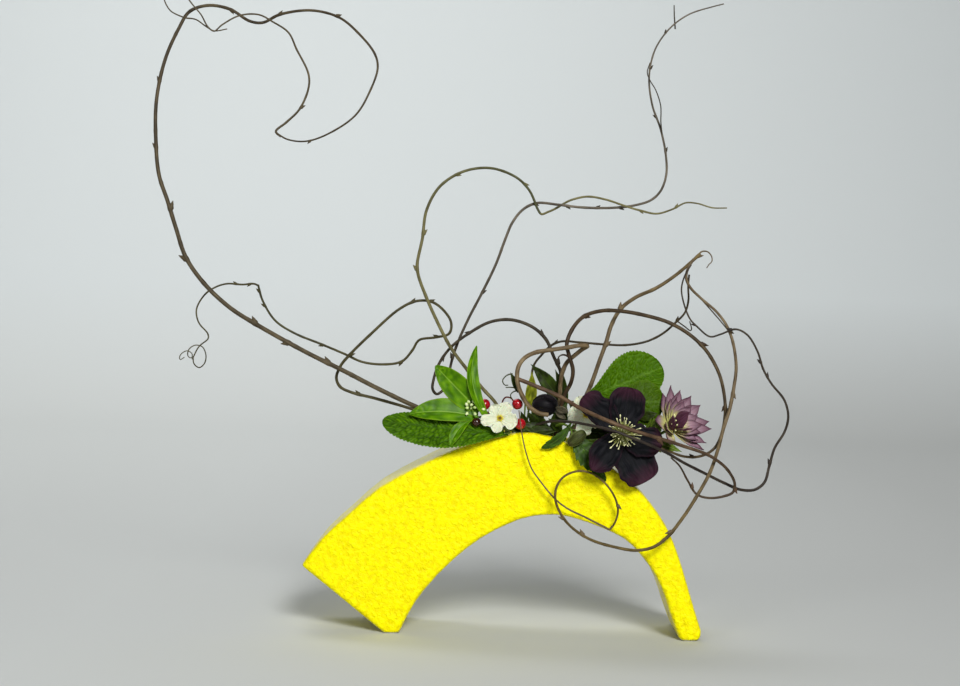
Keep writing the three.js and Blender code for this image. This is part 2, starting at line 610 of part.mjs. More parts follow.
function buildRingVine() {
  const ring = growing({
    radius: [[0, 1.65], [0.6, 1.5], [0.8, 1.25], [1, 0.9]],
    route: [
      [42, 104, -12], [42, 128, -12], [43.5, 156, -12.5], [49, 181, -16], [54, 191.6, -19.5],
      [55.2, 201, -21.5], [52, 212, -22.5], [49.9, 221, -22], [53.7, 232.5, -19], [62.3, 242.6, -12],
      [76.3, 247.4, -5], [92.3, 247.4, 1], [110.2, 244.6, 5], [127.2, 240, 7], [143.5, 231.4, 7],
      [157, 219.4, 5], [167.3, 202.7, 3], [172, 187, 0.5], [173.6, 171, -2], [171, 153.7, -6],
      [166, 143.5, -10], [156.8, 137.6, -15], [144.4, 136.4, -22], [131.9, 140, -30], [124, 142.8, -36],
    ].map(seen),
    buds: [[63, 243, -1, 1.2], [153, 223, 1, 1.4], [172.8, 176, -1, 1.2], [172.8, 174, 1, 1.2],
      [149.5, 136, -1, 1.1]],
  });
  const snag = {
    radius: [[0, 0.95], [1, 0.5]],
    sides: 4,
    route: [[52.3, 211, -22.3], [48.6, 212.6, -24], [45.8, 212.4, -25], [43.4, 210.6, -25.5]].map(seen),
  };
  addVine('ring_vine', finishes.redBark, [ring, snag]);
}

function buildOuterTrailingVine() {
  const trail = growing({
    radius: [[0, 1.1], [0.35, 1.1], [0.5, 1.2], [0.75, 0.85], [1, 0.6]],
    route: [
      [20, 104, -16], [20, 128, -16], [21, 149, -17], [26.2, 156.5, -24], [37.4, 160.8, -33],
      [54.4, 161, -45], [72.6, 158.3, -55], [88.5, 154.9, -61], [104.6, 149.1, -61], [118, 144, -57],
      [129.5, 139, -49], [143, 131.7, -39], [158.6, 124.3, -27], [175, 116.7, -18], [187.6, 112, -13],
      [198.3, 112.4, -10], [205.6, 118.3, -7], [209, 131.5, -5], [212.6, 145, -4], [219.8, 157.7, -3],
      [222.3, 169.3, -3], [219, 182, -3], [208.3, 195, -3], [201.7, 206, -3], [196.9, 219.5, -4],
      [188.5, 232, -5], [179.5, 235.9, -6], [168, 231.7, -5], [160, 229.7, -3], [150, 237, 0],
      [144.5, 242.5, 2], [140.2, 251.5, 3], [137, 264, 2.5], [137.8, 272, 1.5], [140.5, 279, 1.5],
      [143.8, 284.5, 3],
    ].map(seen),
    buds: [
      [209.5, 133, 1, 1.1], [200, 211, 1, 1.1], [205, 200, -1], [176, 235.5, -1, 1.1], [148, 238.5, 1, 0.9],
    ],
  });
  addVine('outer_trailing_vine', finishes.darkBark, [trail]);
}

function buildKnottedVine() {
  const back = growing({
    radius: [[0, 1.75], [1, 1.7]],
    route: [
      [44, 104, -3.5], [44, 128, -3.5], [44.5, 152, -4], [45.8, 178, -6], [45.8, 190, -8],
      [47.4, 200, -11], [50.5, 207, -14], [56.8, 213, -18], [62, 217.4, -21.5], [65.2, 219.6, -24],
    ].map(seen),
  });
  const knot = {
    radius: [[0, 1.7], [1, 1.75]],
    route: [
      [62, 217.4, -21.5], [66, 220, -24.8], [60, 220.2, -27], [50, 218.3, -29.5], [36.4, 216, -31],
      [25, 213.6, -32], [17, 208.8, -33.5], [12.8, 201.5, -36], [12.8, 190.5, -38], [17.3, 179, -38.5],
      [22.8, 171.6, -38.5], [29.5, 167.3, -38], [37, 166, -37],
    ].map(seen),
  };
  const shoot = {
    radius: [[0, 1.4], [0.35, 1.35], [0.7, 1.1], [1, 0.65]],
    route: [
      [13.2, 193, -37.6], [20, 190.6, -38.4], [30.2, 186.6, -39.5], [44.8, 180.8, -42], [63, 171.2, -50],
      [87.3, 161.1, -63], [104.4, 155.3, -63], [124.7, 149.7, -57], [141.8, 144.7, -50],
      [159, 139.3, -41], [167.6, 134.8, -35], [176.5, 127.5, -30], [182.6, 117, -26], [181.6, 110, -25],
      [174.5, 106.6, -24.5], [163, 105, -24], [153.6, 107.6, -24], [146.3, 118, -25], [139.8, 129, -28],
      [133, 135.3, -33],
    ].map(seen),
    buds: [[122, 147, -1, 1.6], [150, 113, -1, 1.2], [182.5, 113, 1, 1.2]],
  };
  addVine('knotted_vine', finishes.tanBark, [back, knot, shoot]);
}

function buildThinBridgingVine() {
  const bridge = growing({
    radius: [[0, 0.95], [0.8, 0.9], [1, 0.75]],
    sides: 4,
    route: [
      [28, 104, 16], [28, 128, 16], [26, 156, 16], [24, 182, 16], [24.6, 203, 16], [31, 212.5, 16],
      [38, 219.7, 16], [46, 223, 16], [60, 222.6, 17], [78, 221.6, 18], [95.6, 221.5, 18],
      [111.6, 224.8, 17], [123.8, 231.3, 16], [133.3, 240, 15], [140, 247.5, 14.5], [142.5, 257, 14],
      [142, 268, 14], [142.5, 277, 14.5],
    ].map(seen),
    buds: [[134, 241.5, 1, 1.1], [41, 222.3, 1, 0.9]],
  });
  const twig = {
    radius: [[0, 0.55], [1, 0.45]],
    sides: 4,
    route: [
      [134.4, 241, 14.8], [140.5, 236.8, 13.5], [145, 233.8, 13], [145.6, 235.5, 12.6], [144, 241, 11],
    ].map(seen),
  };
  addVine('thin_bridging_vine', finishes.darkBark, [bridge, twig]);
}

// ---------------------------------------------------------------- leaves
const towards = (x, y, z) => new THREE.Vector3(x, y, z).normalize();

// A stem from below the water up through the mouth: foot is its place in the mouth.
function stalk(foot, route, radius) {
  const [x, y] = foot;
  const below = [[x, 106, y], [x, 128, y], [x, 148, y]].map(seenInFront);
  return growing({ radius: [[0, radius], [1, radius * 0.8]], route: [...below, ...route] });
}

function buildPrimulaLeaves() {
  const left = blade({
    root: seenInFront([-2, 156.5, -31]), tip: seenInFront([-88.5, 158.5, -35]),
    facing: towards(0, -0.8, 0.6), width: 38, outline: outlines.primulaLeaf, rows: 16, columns: 4,
    cup: 0.1, teeth: 0.08, ripple: 0.8,
  });
  addPart('primula_leaf_left', fuse([
    left,
    stem(stalk([0, -18.5], [
      [1.5, 155, -19.5], [1, 157.3, -24.5], [-3, 157, -30.6], [-10, 156.6, -31.8],
    ].map(seenInFront), 1.4)),
  ]), finishes.deepPrimulaGreen);
  const upright = blade({
    root: seenInFront([66, 179, -3]), tip: seenInFront([120.5, 205.5, 2]),
    facing: towards(-0.1, -0.95, 0.18), width: 39, outline: outlines.spoonLeaf, rows: 16, columns: 4,
    arch: 0.03, cup: 0.15, teeth: 0.06, ripple: 0.8,
  });
  addPart('primula_leaf_upright', fuse([
    upright,
    stem(stalk([57, 3], [
      [60, 158, 1], [63, 170, -1], [66, 178.5, -3], [73, 182.5, -2.6],
    ].map(seenInFront), 1.4)),
  ]), finishes.primulaGreen);
  const folding = blade({
    root: seenInFront([79, 181, -13.5]), tip: seenInFront([122, 178, -19]),
    facing: towards(0.1, -0.95, 0.2), width: 37, outline: outlines.spoonLeaf, rows: 16, columns: 2,
    arch: 0.1, cup: -0.12, teeth: 0.07, ripple: 0.7,
  });
  addPart('primula_leaf_folding', fuse([
    folding,
    stem(stalk([56, -12], [
      [61, 156, -12.5], [70, 168, -13.5], [77, 179.5, -13.4], [86, 181.6, -13.3],
    ].map(seenInFront), 1.3)),
  ]), finishes.primulaGreen);
}

function buildEvergreenSprig() {
  const crown = seenInFront([-18, 167.5, -31]);
  const { broadLeaf, lance } = outlines;
  const leaves = [
    {
      root: [-19, 168.5, -30], tip: [-50.5, 202, -31], facing: [-0.25, -0.95, 0.15],
      width: 21, rows: 9, outline: broadLeaf,
    },
    {
      root: [-20, 166, -33], tip: [-68, 168, -38], facing: [0, -0.85, 0.5],
      width: 15, rows: 9, outline: broadLeaf,
    },
    {
      root: [-21, 169, -30.3], tip: [-20.7, 219, -25], facing: [0.3, -0.95, 0],
      width: 9.5, rows: 8, outline: lance,
    },
    {
      root: [-21, 165, -35], tip: [-38.5, 144, -47], facing: [-0.2, -0.9, 0.3],
      width: 6, rows: 5, outline: lance,
    },
  ].map(({ tip, root, facing, ...leaf }) => blade({
    root: seenInFront(root), tip: seenInFront(tip), facing: towards(...facing), arch: 0.04, cup: 0.18,
    columns: 2, ...leaf,
  }));
  const twig = stem(stalk([-2, -9], [
    seenInFront([-3, 158, -12]), seenInFront([-4.5, 168, -17]), seenInFront([-10.5, 171, -25]), crown,
    seenInFront([-24, 166.5, -33.5]),
  ], 1.3));
  addPart('evergreen_sprig', fuse([twig, ball(2.4, crown, 0), ...leaves]), finishes.glossyGreen);

  const beads = [
    [-25.5, 176, -37], [-22.5, 178, -36.5], [-19.5, 177.5, -36], [-26, 172.5, -38], [-19, 173.5, -38.5],
    [-25.5, 168.8, -38.5], [-19, 168.8, -40], [-15.4, 171.6, -38.8], [-22.5, 172.5, -40.5],
  ];
  const heart = seenInFront([-21.5, 172.6, -36.6]);
  const head = [ball(1.5, heart, 0)];
  for (const place of beads) {
    const bead = seenInFront(place);
    head.push(ball(1.5, bead, 0));
    const route = [heart, heart.clone().lerp(bead, 0.5), bead];
    head.push(stem({ route, radius: [[0, 0.5], [1, 0.45]], sides: 3 }));
  }
  addPart('evergreen_sprig_buds', fuse(head), finishes.budWhite);
}

function buildNarrowLeaves() {
  const lime = blade({
    root: seenInFront([18.5, 160, -5]), tip: seenInFront([22, 200, -10]), facing: towards(0.2, -0.97, 0.1),
    width: 8.5, outline: outlines.lance, rows: 8, columns: 2, cup: 0.2,
  });
  addPart('lime_leaf', fuse([
    lime, stem(stalk([19, -3], [[18.8, 156, -4], [18.8, 165, -5.6]].map(seenInFront), 0.9)),
  ]), finishes.limeLeaf);
  const pointed = blade({
    root: seenInFront([44, 180, -0.5]), tip: seenInFront([22, 206, -2.5]), facing: towards(0, -1, 0.1),
    width: 12, outline: outlines.lance, rows: 8, columns: 2, cup: 0.15,
  });
  addPart('dark_pointed_leaf', fuse([
    pointed,
    stem(stalk([37, 1], [
      [38, 160, 1], [41.5, 172, 0.5], [44, 179, -0.3], [41, 183.8, -0.6],
    ].map(seenInFront), 0.9)),
  ]), finishes.darkLeaf);
  const upright = blade({
    root: seenInFront([44, 168, 12]), tip: seenInFront([43.5, 205, 13]), facing: towards(0, -1, 0),
    width: 9.5, outline: outlines.lance, rows: 8, columns: 2, cup: 0.15,
  });
  addPart('dark_upright_leaf', fuse([
    upright, stem(stalk([43.5, 12.5], [[44, 160, 12.5], [44, 172, 12.4]].map(seenInFront), 0.9)),
  ]), finishes.darkLeaf);
  const small = blade({
    root: seenInFront([13, 184, -31]), tip: seenInFront([6.5, 199.5, -31]), facing: towards(0.1, -1, 0.1),
    width: 5.5, outline: outlines.lance, rows: 6, columns: 2, cup: 0.1,
  });
  const threads = [
    [[8, 197.5, -31], [4, 196.8, -32], [1.5, 192.5, -33], [3.6, 189, -33], [7.5, 188.6, -33]],
    [[12.6, 185.5, -31], [9.5, 184.5, -32.5], [7, 181.5, -33.5], [7.6, 178.3, -33.5]],
  ].map((route) => stem({ route: route.map(seenInFront), radius: [[0, 0.5], [1, 0.4]], sides: 4 }));
  addPart('small_leaf_with_threads', fuse([
    small, ...threads,
    stem(stalk([16, -8], [
      [17, 158, -12], [18, 170, -18], [17.6, 181, -22.5], [14.2, 185.5, -29.5], [12.7, 186.6, -31],
    ].map(seenInFront), 0.75)),
  ]), finishes.darkLeaf);
}

function buildToothedLeaf() {
  const leaflets = [
    { root: [44.5, 155, -38], tip: [31.5, 142, -38.5], width: 9 },
    { root: [46.5, 152.5, -38.5], tip: [67, 130.5, -39], width: 17 },
    { root: [49.5, 150.5, -39.5], tip: [80.5, 118.5, -39.5], width: 10 },
  ].map(({ root, tip, width }) => blade({
    root: seenInFront(root), tip: seenInFront(tip), facing: towards(0.1, -0.95, 0.25), width,
    outline: outlines.broadLeaf, rows: 10, columns: 2, cup: 0.12, teeth: 0.14, arch: 0.04,
  }));
  const holding = stem(stalk([38.5, -18.3], [
    [39, 156, -19.5], [41, 158.5, -28], [44, 157, -35], [46.5, 153.6, -38.4], [52, 148.6, -39.3],
  ].map(seenInFront), 1.0));
  const joint = ball(1.8, seenInFront([45.5, 154.6, -37.8]), 0);
  addPart('hanging_toothed_leaf', fuse([holding, joint, ...leaflets]), finishes.darkLeaf);
}

// ---------------------------------------------------------------- berries and small buds
function buildBerries() {
  const berries = [
    { name: 'berry_left', place: [-11.5, 175, -33], radius: 4.3 },
    { name: 'berry_left_low', place: [-9.5, 166.3, -32], radius: 3.7 },
    { name: 'berry_left_dark', place: [-17.5, 160.3, -38.5], radius: 3.6 },
    { name: 'berry_right_high', place: [12.7, 176.7, -31], radius: 4.4 },
    { name: 'berry_right_low', place: [14.6, 160.9, -32], radius: 4.4 },
  ];
  const branches = [
    [[6.5, 164, -21], [2.5, 172, -27], [-3.5, 175, -29]],
    [[-3.5, 175, -29], [-6, 170.5, -28], [-6.6, 168, -28.4]],
    [[7.6, 161.4, -19.8], [1, 162.2, -28.5], [-6, 161.2, -35], [-13.8, 160.4, -37.6]],
    [[2.5, 172, -27], [2, 177, -29.2], [5.3, 180.8, -30], [9, 180, -30]],
    [[7.6, 161.4, -19.8], [9.5, 163.2, -24], [11.6, 163, -27.6]],
  ];
  const twig = [stem(stalk([10, -12], [[9.4, 155, -15], [6.5, 164, -21]].map(seenInFront), 0.9))];
  for (const route of branches) {
    twig.push(stem({ route: route.map(seenInFront), radius: [[0, 0.7], [1, 0.5]], sides: 5 }));
  }
  addPart('berry_twig', fuse(twig), finishes.twigRed);
  for (const { name, place, radius } of berries) {
    addPart(name, toGeometry(toSolid(ball(radius, seenInFront(place)))), finishes.berryRed);
  }
}

function buildSmallBuds() {
  const middle = seenInFront([33, 176, -24]);
  const dark = new THREE.IcosahedronGeometry(1, 1).scale(9.6, 7.4, 8);
  dark.translate(middle.x, middle.y, middle.z);
  addPart('dark_hellebore_bud', fuse([
    dark, stem(stalk([35, -15], [[36, 156, -17], [40.5, 166, -20], [39.5, 173, -23]].map(seenInFront), 1.3)),
  ]), finishes.nearBlack);
  const place = seenInFront([58.6, 151.8, -45]);
  const grey = new THREE.IcosahedronGeometry(1, 1).scale(5.6, 4.4, 6.6).rotateY(0.5)
    .translate(place.x, place.y, place.z);
  addPart('grey_nodding_bud', fuse([
    grey,
    stem(stalk([46.5, -18.6], [
      [48, 155, -22], [52.5, 155.2, -31], [56, 154.2, -38.5], [58.6, 153.5, -43],
    ].map(seenInFront), 0.9)),
  ]), finishes.greyBud);
}

// ---------------------------------------------------------------- flowers
function buildPrimrose({ name, centre, facing, turn, route, foot }) {
  const place = flowerPlace(centre, facing, turn);
  const petals = [];
  for (let k = 0; k < 5; k += 1) {
    petals.push(petal({
      angle: (2 * Math.PI * k) / 5, spread: 1.42, inner: 1.6, lift: 0.1 * (k % 2), length: 13.2, width: 13.5,
      outline: outlines.heartPetal, rows: 5, columns: 2, notch: 0.2, cup: 0.06,
    }));
  }
  petals.push(new THREE.CylinderGeometry(2.6, 2, 1.6, 8).rotateX(Math.PI / 2).translate(0, 0, -0.3));
  addPart(`${name}_petals`, fuse(petals).applyMatrix4(place), finishes.petalWhite);
  const eyeDisc = new THREE.CylinderGeometry(2.2, 2.6, 0.9, 8).rotateX(Math.PI / 2).translate(0, 0, 1.6);
  addPart(`${name}_eye`, toGeometry(toSolid(eyeDisc)).applyMatrix4(place), finishes.eyeYellow);
  const calyx = new THREE.ConeGeometry(2.5, 9, 6).rotateX(-Math.PI / 2).translate(0, 0, -6.1);
  calyx.applyMatrix4(place);
  const holding = stem(stalk(foot, [...route, new THREE.Vector3(0, 0, -7).applyMatrix4(place)], 0.9));
  addPart(`${name}_stem`, fuse([calyx, holding]), finishes.stemGreen);
}

function buildDarkHellebore() {
  const place = flowerPlace(seenInFront([89.3, 154.2, -43]), towards(0.14, -0.97, 0.14));
  const degree = Math.PI / 180;
  const sepals = [
    { angle: 79, length: 37.5, width: 28, spread: 88, lift: 0 },
    { angle: -6, length: 27.5, width: 25, spread: 84, lift: 0.9 },
    { angle: -61, length: 37.5, width: 31, spread: 88, lift: 0 },
    { angle: 239, length: 32.5, width: 24, spread: 85, lift: 0.9 },
    { angle: 134, length: 40, width: 27, spread: 90, lift: 1.8 },
  ].map(({ angle, spread, ...sepal }) => petal({
    angle: angle * degree, spread: spread * degree, inner: 1.5, outline: outlines.rosePetal, rows: 5,
    columns: 4, cup: 0.14, arch: -0.03, ripple: 0.5, ...sepal,
  }));
  sepals.push(new THREE.CylinderGeometry(4, 3, 5, 8).rotateX(Math.PI / 2).translate(0, 0, 0.2));
  addPart('dark_hellebore_sepals', fuse(sepals).applyMatrix4(place), finishes.nearBlack);

  const stamens = [new THREE.CylinderGeometry(2.4, 3.4, 3, 8).rotateX(Math.PI / 2).translate(0, 0, 4.6)];
  const rings = [
    { count: 10, spread: 62, length: 11.5 },
    { count: 6, spread: 38, length: 10.5 },
    { count: 3, spread: 16, length: 9 },
  ];
  rings.forEach(({ count, spread, length }, ring) => {
    for (let k = 0; k < count; k += 1) {
      const angle = (2 * Math.PI * (k + 0.37 * ring)) / count;
      const lean = spread * degree * (1 + 0.12 * Math.sin(5 * angle + ring));
      const outward = new THREE.Vector3(Math.cos(angle), Math.sin(angle), 0).multiplyScalar(Math.sin(lean));
      const way = outward.setZ(Math.cos(lean));
      const root = new THREE.Vector3(0, 0, 5);
      const head = root.clone().addScaledVector(way, length * (1 + 0.1 * Math.cos(3 * angle)));
      stamens.push(stem({
        route: [root, root.clone().lerp(head, 0.8), head], radius: [[0, 0.4], [0.6, 0.45], [1, 0.95]],
        sides: 3,
      }));
    }
  });
  addPart('dark_hellebore_stamens', fuse(stamens).applyMatrix4(place), finishes.stamenCream);

  const nectaryCount = 8;
  const nectaries = [new THREE.TorusGeometry(5, 0.7, 3, nectaryCount).translate(0, 0, 3.6)];
  for (let k = 0; k < nectaryCount; k += 1) {
    const angle = (2 * Math.PI * k) / nectaryCount;
    const outward = new THREE.Vector3(Math.cos(angle), Math.sin(angle), 0);
    nectaries.push(stem({
      route: [4.8, 6.2, 7.6].map((reach, i) => outward.clone().multiplyScalar(reach).setZ(3.6 + 1.1 * i)),
      radius: [[0, 0.6], [1, 1.1]], sides: 3,
    }));
  }
  addPart('dark_hellebore_nectaries', fuse(nectaries).applyMatrix4(place), finishes.nectaryGreen);

  const neck = [-9, -2.75].map((z) => new THREE.Vector3(0, 0, z).applyMatrix4(place));
  addPart('dark_hellebore_stem', fuse([stem(stalk([51.5, -15.5], [
    seenInFront([56, 151.5, -18]), seenInFront([65, 150, -25]), seenInFront([77, 151, -31]), ...neck,
  ], 1.6))]), finishes.stemGreen);
}

function buildDoubleHellebore() {
  const place = flowerPlace(seenInFront([127.6, 158.2, -22]), towards(0.83, -0.2, 0.52));
  const degree = Math.PI / 180;
  // turn 0 is the far side of the flower, 90 its upper left and 180 the side nearest the viewer
  const petals = [
    { turn: 84, spread: 60, length: 34, width: 12 }, { turn: 116, spread: 68, length: 31, width: 14 },
    { turn: 152, spread: 84, length: 29, width: 14 }, { turn: 215, spread: 76, length: 24, width: 12 },
    { turn: -82, spread: 60, length: 30, width: 12 }, { turn: -40, spread: 62, length: 30, width: 13 },
    { turn: 5, spread: 62, length: 31, width: 14 }, { turn: 46, spread: 60, length: 32, width: 13 },
    { turn: 64, spread: 42, length: 31, width: 13, lift: 1.5 },
    { turn: 30, spread: 34, length: 32, width: 13, lift: 1.5 },
    { turn: -8, spread: 32, length: 32, width: 13, lift: 1.5 },
    { turn: -42, spread: 40, length: 31, width: 12, lift: 1.5 },
    { turn: -75, spread: 46, length: 28, width: 11, lift: 1.5 },
    { turn: 165, spread: 32, length: 27, width: 13, lift: 1.5 },
  ].map(({ turn, spread, ...shape }) => petal({
    angle: turn * degree, spread: spread * degree, outline: outlines.pointedPetal, rows: 4, columns: 2,
    cup: 0.3, arch: -0.05, ...shape,
  }));
  petals.push(new THREE.CylinderGeometry(3.6, 2.4, 6, 8).rotateX(Math.PI / 2).translate(0, 0, 1));
  addPart('double_hellebore_petals', fuse(petals).applyMatrix4(place), finishes.lilac);

  const tufts = [new THREE.CylinderGeometry(1.3, 1.3, 3, 6).rotateX(Math.PI / 2).translate(0, 0, 5.9)];
  for (let k = 0; k < 6; k += 1) {
    const angle = (2 * Math.PI * k) / 6;
    const way = new THREE.Vector3(0.42 * Math.cos(angle), 0.42 * Math.sin(angle), 1).normalize();
    const root = new THREE.Vector3(0, 0, 5.4);
    tufts.push(stem({
      route: [root, root.clone().addScaledVector(way, 4), root.clone().addScaledVector(way, 8)],
      radius: [[0, 0.45], [1, 0.6]], sides: 3,
    }));
  }
  addPart('double_hellebore_middle', fuse(tufts).applyMatrix4(place), finishes.limeCentre);

  const neck = [-9, -2.75].map((z) => new THREE.Vector3(0, 0, z).applyMatrix4(place));
  const bracts = [
    { root: [113, 152, -19], tip: [135, 144.5, -25], width: 8 },
    { root: [112, 151.9, -18.8], tip: [113, 168, -29], width: 8 },
    { root: [109, 151.6, -18.4], tip: [121.5, 142.5, -26], width: 6 },
  ].map(({ root, tip, width }) => blade({
    root: seenInFront(root), tip: seenInFront(tip), facing: towards(-0.2, -0.9, 0.3), width,
    outline: outlines.lance, rows: 6, columns: 2, cup: 0.2,
  }));
  addPart('double_hellebore_stem', fuse([stem(stalk([55.5, -4], [
    seenInFront([61, 152.5, -5]), seenInFront([72, 153, -9]), seenInFront([90, 152, -14]),
    seenInFront([106, 151.3, -18]), ...neck,
  ], 1.5)), ...bracts]), finishes.stemGreen);
}

// ---------------------------------------------------------------- the arrangement
buildVase();
buildLeftSweepingVine();
buildLeftLoopedVine();
buildMiddleHoopedVine();
buildTallVine();
buildCrestVine();
buildRingVine();
buildOuterTrailingVine();
buildKnottedVine();
buildThinBridgingVine();
buildPrimulaLeaves();
buildEvergreenSprig();
buildNarrowLeaves();
buildToothedLeaf();
buildBerries();
buildSmallBuds();
buildPrimrose({
  name: 'front_primrose',
  centre: seenInFront([-0.5, 165.6, -42]),
  facing: towards(-0.1, -0.97, 0.15),
  turn: 0.35,
  foot: [5.5, -18.5],
  route: [seenInFront([7.5, 157.5, -20.5]), seenInFront([6, 163, -27])],
});
buildPrimrose({
  name: 'side_primrose',
  centre: seenInFront([63.8, 169, -31]),
  facing: towards(0.5, -0.86, 0),
  turn: 0.9,
  foot: [48.5, -15.5],
  route: [seenInFront([50, 155, -17.5]), seenInFront([53, 162, -21])],
});
buildDarkHellebore();
buildDoubleHellebore();
buildWater();

// The origin stands under the middle of the whole arrangement, on the surface it rests on.
const bounds = new THREE.Box3().setFromObject(arrangement);
const middle = bounds.getCenter(new THREE.Vector3());
arrangement.position.set(-middle.x, -middle.y, -bounds.min.z);

export default arrangement;
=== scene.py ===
# An ikebana arrangement in an arched yellow vase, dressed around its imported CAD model.
# Metres, +Z up; the vase's rough face looks towards -Y.
import math

import bpy
from mathutils import Matrix, Vector, noise


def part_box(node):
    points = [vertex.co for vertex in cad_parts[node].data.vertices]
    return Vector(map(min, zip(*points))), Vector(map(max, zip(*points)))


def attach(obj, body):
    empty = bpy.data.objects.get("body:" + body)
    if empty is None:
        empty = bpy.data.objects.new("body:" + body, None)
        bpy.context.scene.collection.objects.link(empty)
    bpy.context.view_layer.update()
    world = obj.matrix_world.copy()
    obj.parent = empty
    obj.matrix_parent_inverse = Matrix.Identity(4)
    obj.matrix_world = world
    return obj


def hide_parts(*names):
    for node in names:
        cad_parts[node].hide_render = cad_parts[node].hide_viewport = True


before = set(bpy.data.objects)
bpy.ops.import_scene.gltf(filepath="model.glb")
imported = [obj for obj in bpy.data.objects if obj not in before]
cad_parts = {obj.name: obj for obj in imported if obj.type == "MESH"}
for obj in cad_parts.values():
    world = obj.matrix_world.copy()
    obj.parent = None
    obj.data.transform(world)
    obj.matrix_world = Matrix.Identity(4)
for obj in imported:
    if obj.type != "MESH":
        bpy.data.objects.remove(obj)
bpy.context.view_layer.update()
mm = 0.001
print("frame loaded")

# The design's own origin stands on the floor in the middle of the vase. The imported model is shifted.
vaseDesignCorner = Vector((-0.1475, -0.035, 0))
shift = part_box("vase")[0] - vaseDesignCorner
shift.z = 0
frontFace = -35  # millimetres, where the vase's front face stands

cameraSetup = {
    "eye": (-17, -1337, 267),  # millimetres from the design's origin
    "pitchDown": 2.01,  # degrees
    "roll": 1.53,
    "lens": 65.1,
    "sensor": 36,
}
eye = Vector(cameraSetup["eye"])


def seenAt(depth):  # places (x, z, y) read on the plane at this depth, pushed along the line of sight to y
    def reading(place):
        x, z, y = place
        reach = (y - eye.y) / (depth - eye.y)
        return Vector((eye.x + (x - eye.x) * reach, y, eye.z + (z - eye.z) * reach)) * mm + shift
    return reading


seen = seenAt(0)  # read on the vase's middle plane
seenInFront = seenAt(frontFace)


def linear(code):  # '#rrggbb' as the photo shows it, to linear light
    values = [int(code[k:k + 2], 16) / 255 for k in (1, 3, 5)]
    return [v / 12.92 if v <= 0.04045 else ((v + 0.055) / 1.055) ** 2.4 for v in values] + [1]


def firstOutput(node):
    return next(socket for socket in node.outputs if socket.enabled)


def addNode(tree, kind, links=None, stops=(), **settings):  # a link may be a value, a socket or a node
    node = tree.nodes.new(kind)
    for key, value in settings.items():
        setattr(node, key, value)
    for k, (position, code) in enumerate(stops):
        elements = node.color_ramp.elements
        element = elements[k] if k < len(elements) else elements.new(1)
        element.position = position
        element.color = linear(code)
    for key, value in (links or {}).items():
        if isinstance(value, bpy.types.Node):
            value = firstOutput(value)
        if isinstance(value, bpy.types.NodeSocket):
            tree.links.new(value, node.inputs[key])
        else:
            node.inputs[key].default_value = value
    return node


def startFinish(name, values, *wanted):  # wanted: what its pattern reads, the place or marks on the mesh
    finish = bpy.data.materials.new(name)
    finish.use_nodes = True
    tree = finish.node_tree
    tree.nodes.clear()
    shader = addNode(tree, "ShaderNodeBsdfPrincipled", values)
    addNode(tree, "ShaderNodeOutputMaterial", {"Surface": shader})
    found = []
    for key in wanted:
        if key == "place":
            found.append(addNode(tree, "ShaderNodeTexCoord").outputs["Object"])
        else:
            mark = addNode(tree, "ShaderNodeAttribute", attribute_name=key)
            found.append(mark.outputs["Vector" if key == "barkPlace" else "Fac"])
    return finish, tree, *found


def endFinish(finish, colour, height=None, depth=0):  # depth in mm, for what is too fine to be in the mesh
    tree = finish.node_tree
    shader = tree.nodes["Principled BSDF"]
    if colour:
        tree.links.new(firstOutput(colour), shader.inputs["Base Color"])
    if height:
        bump = addNode(tree, "ShaderNodeBump", {"Height": height, "Strength": 1.0, "Distance": depth * mm})
        tree.links.new(bump.outputs[0], shader.inputs["Normal"])
    return finish


def useMesh(name, points, faces, finish=None, data=None, edges=()):  # data: lists of numbers, or of aims
    mesh = bpy.data.meshes.new(name)
    mesh.from_pydata(points, edges, faces)
    for key, values in (data or {}).items():
        if key == "aim":
            flat = [number for aim in values for number in aim]
            mesh.attributes.new(key, "FLOAT_VECTOR", "POINT").data.foreach_set("vector", flat)
        else:
            mesh.attributes.new(key, "FLOAT", "POINT").data.foreach_set("value", values)
    if finish:
        mesh.materials.append(finish)
    mesh.polygons.foreach_set("use_smooth", [True] * len(mesh.polygons))
    piece = bpy.data.objects.new(name, mesh)
    bpy.context.scene.collection.objects.link(piece)
    return piece


def addTree(name, inputs):  # inputs: each one's socket kind by name
    tree = bpy.data.node_groups.new(name, "GeometryNodeTree")
    for key, kind in {"Geometry": "Geometry", **inputs}.items():
        tree.interface.new_socket(key, in_out="INPUT", socket_type="NodeSocket" + kind)
    tree.interface.new_socket("Geometry", in_out="OUTPUT", socket_type="NodeSocketGeometry")
    return tree


def keepMesh(piece):  # the piece with its modifiers run becomes its plain mesh
    bpy.context.view_layer.update()
    graph = bpy.context.evaluated_depsgraph_get()
    made = bpy.data.meshes.new_from_object(piece.evaluated_get(graph), depsgraph=graph)
    piece.modifiers.clear()
    raw = piece.data
    piece.data = made
    bpy.data.meshes.remove(raw)
    made.name = piece.name


def applyTree(piece, tree, values):
    modifier = piece.modifiers.new(tree.name, "NODES")
    modifier.node_group = tree
    for item in tree.interface.items_tree:
        if item.in_out == "INPUT" and item.name in values:
            modifier[item.identifier] = values[item.name]
    keepMesh(piece)


def settle(piece, slot, *nodes):  # hangs a finished piece under the root and hides the CAD parts it stands for
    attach(piece, "root")
    if nodes:
        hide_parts(*nodes)


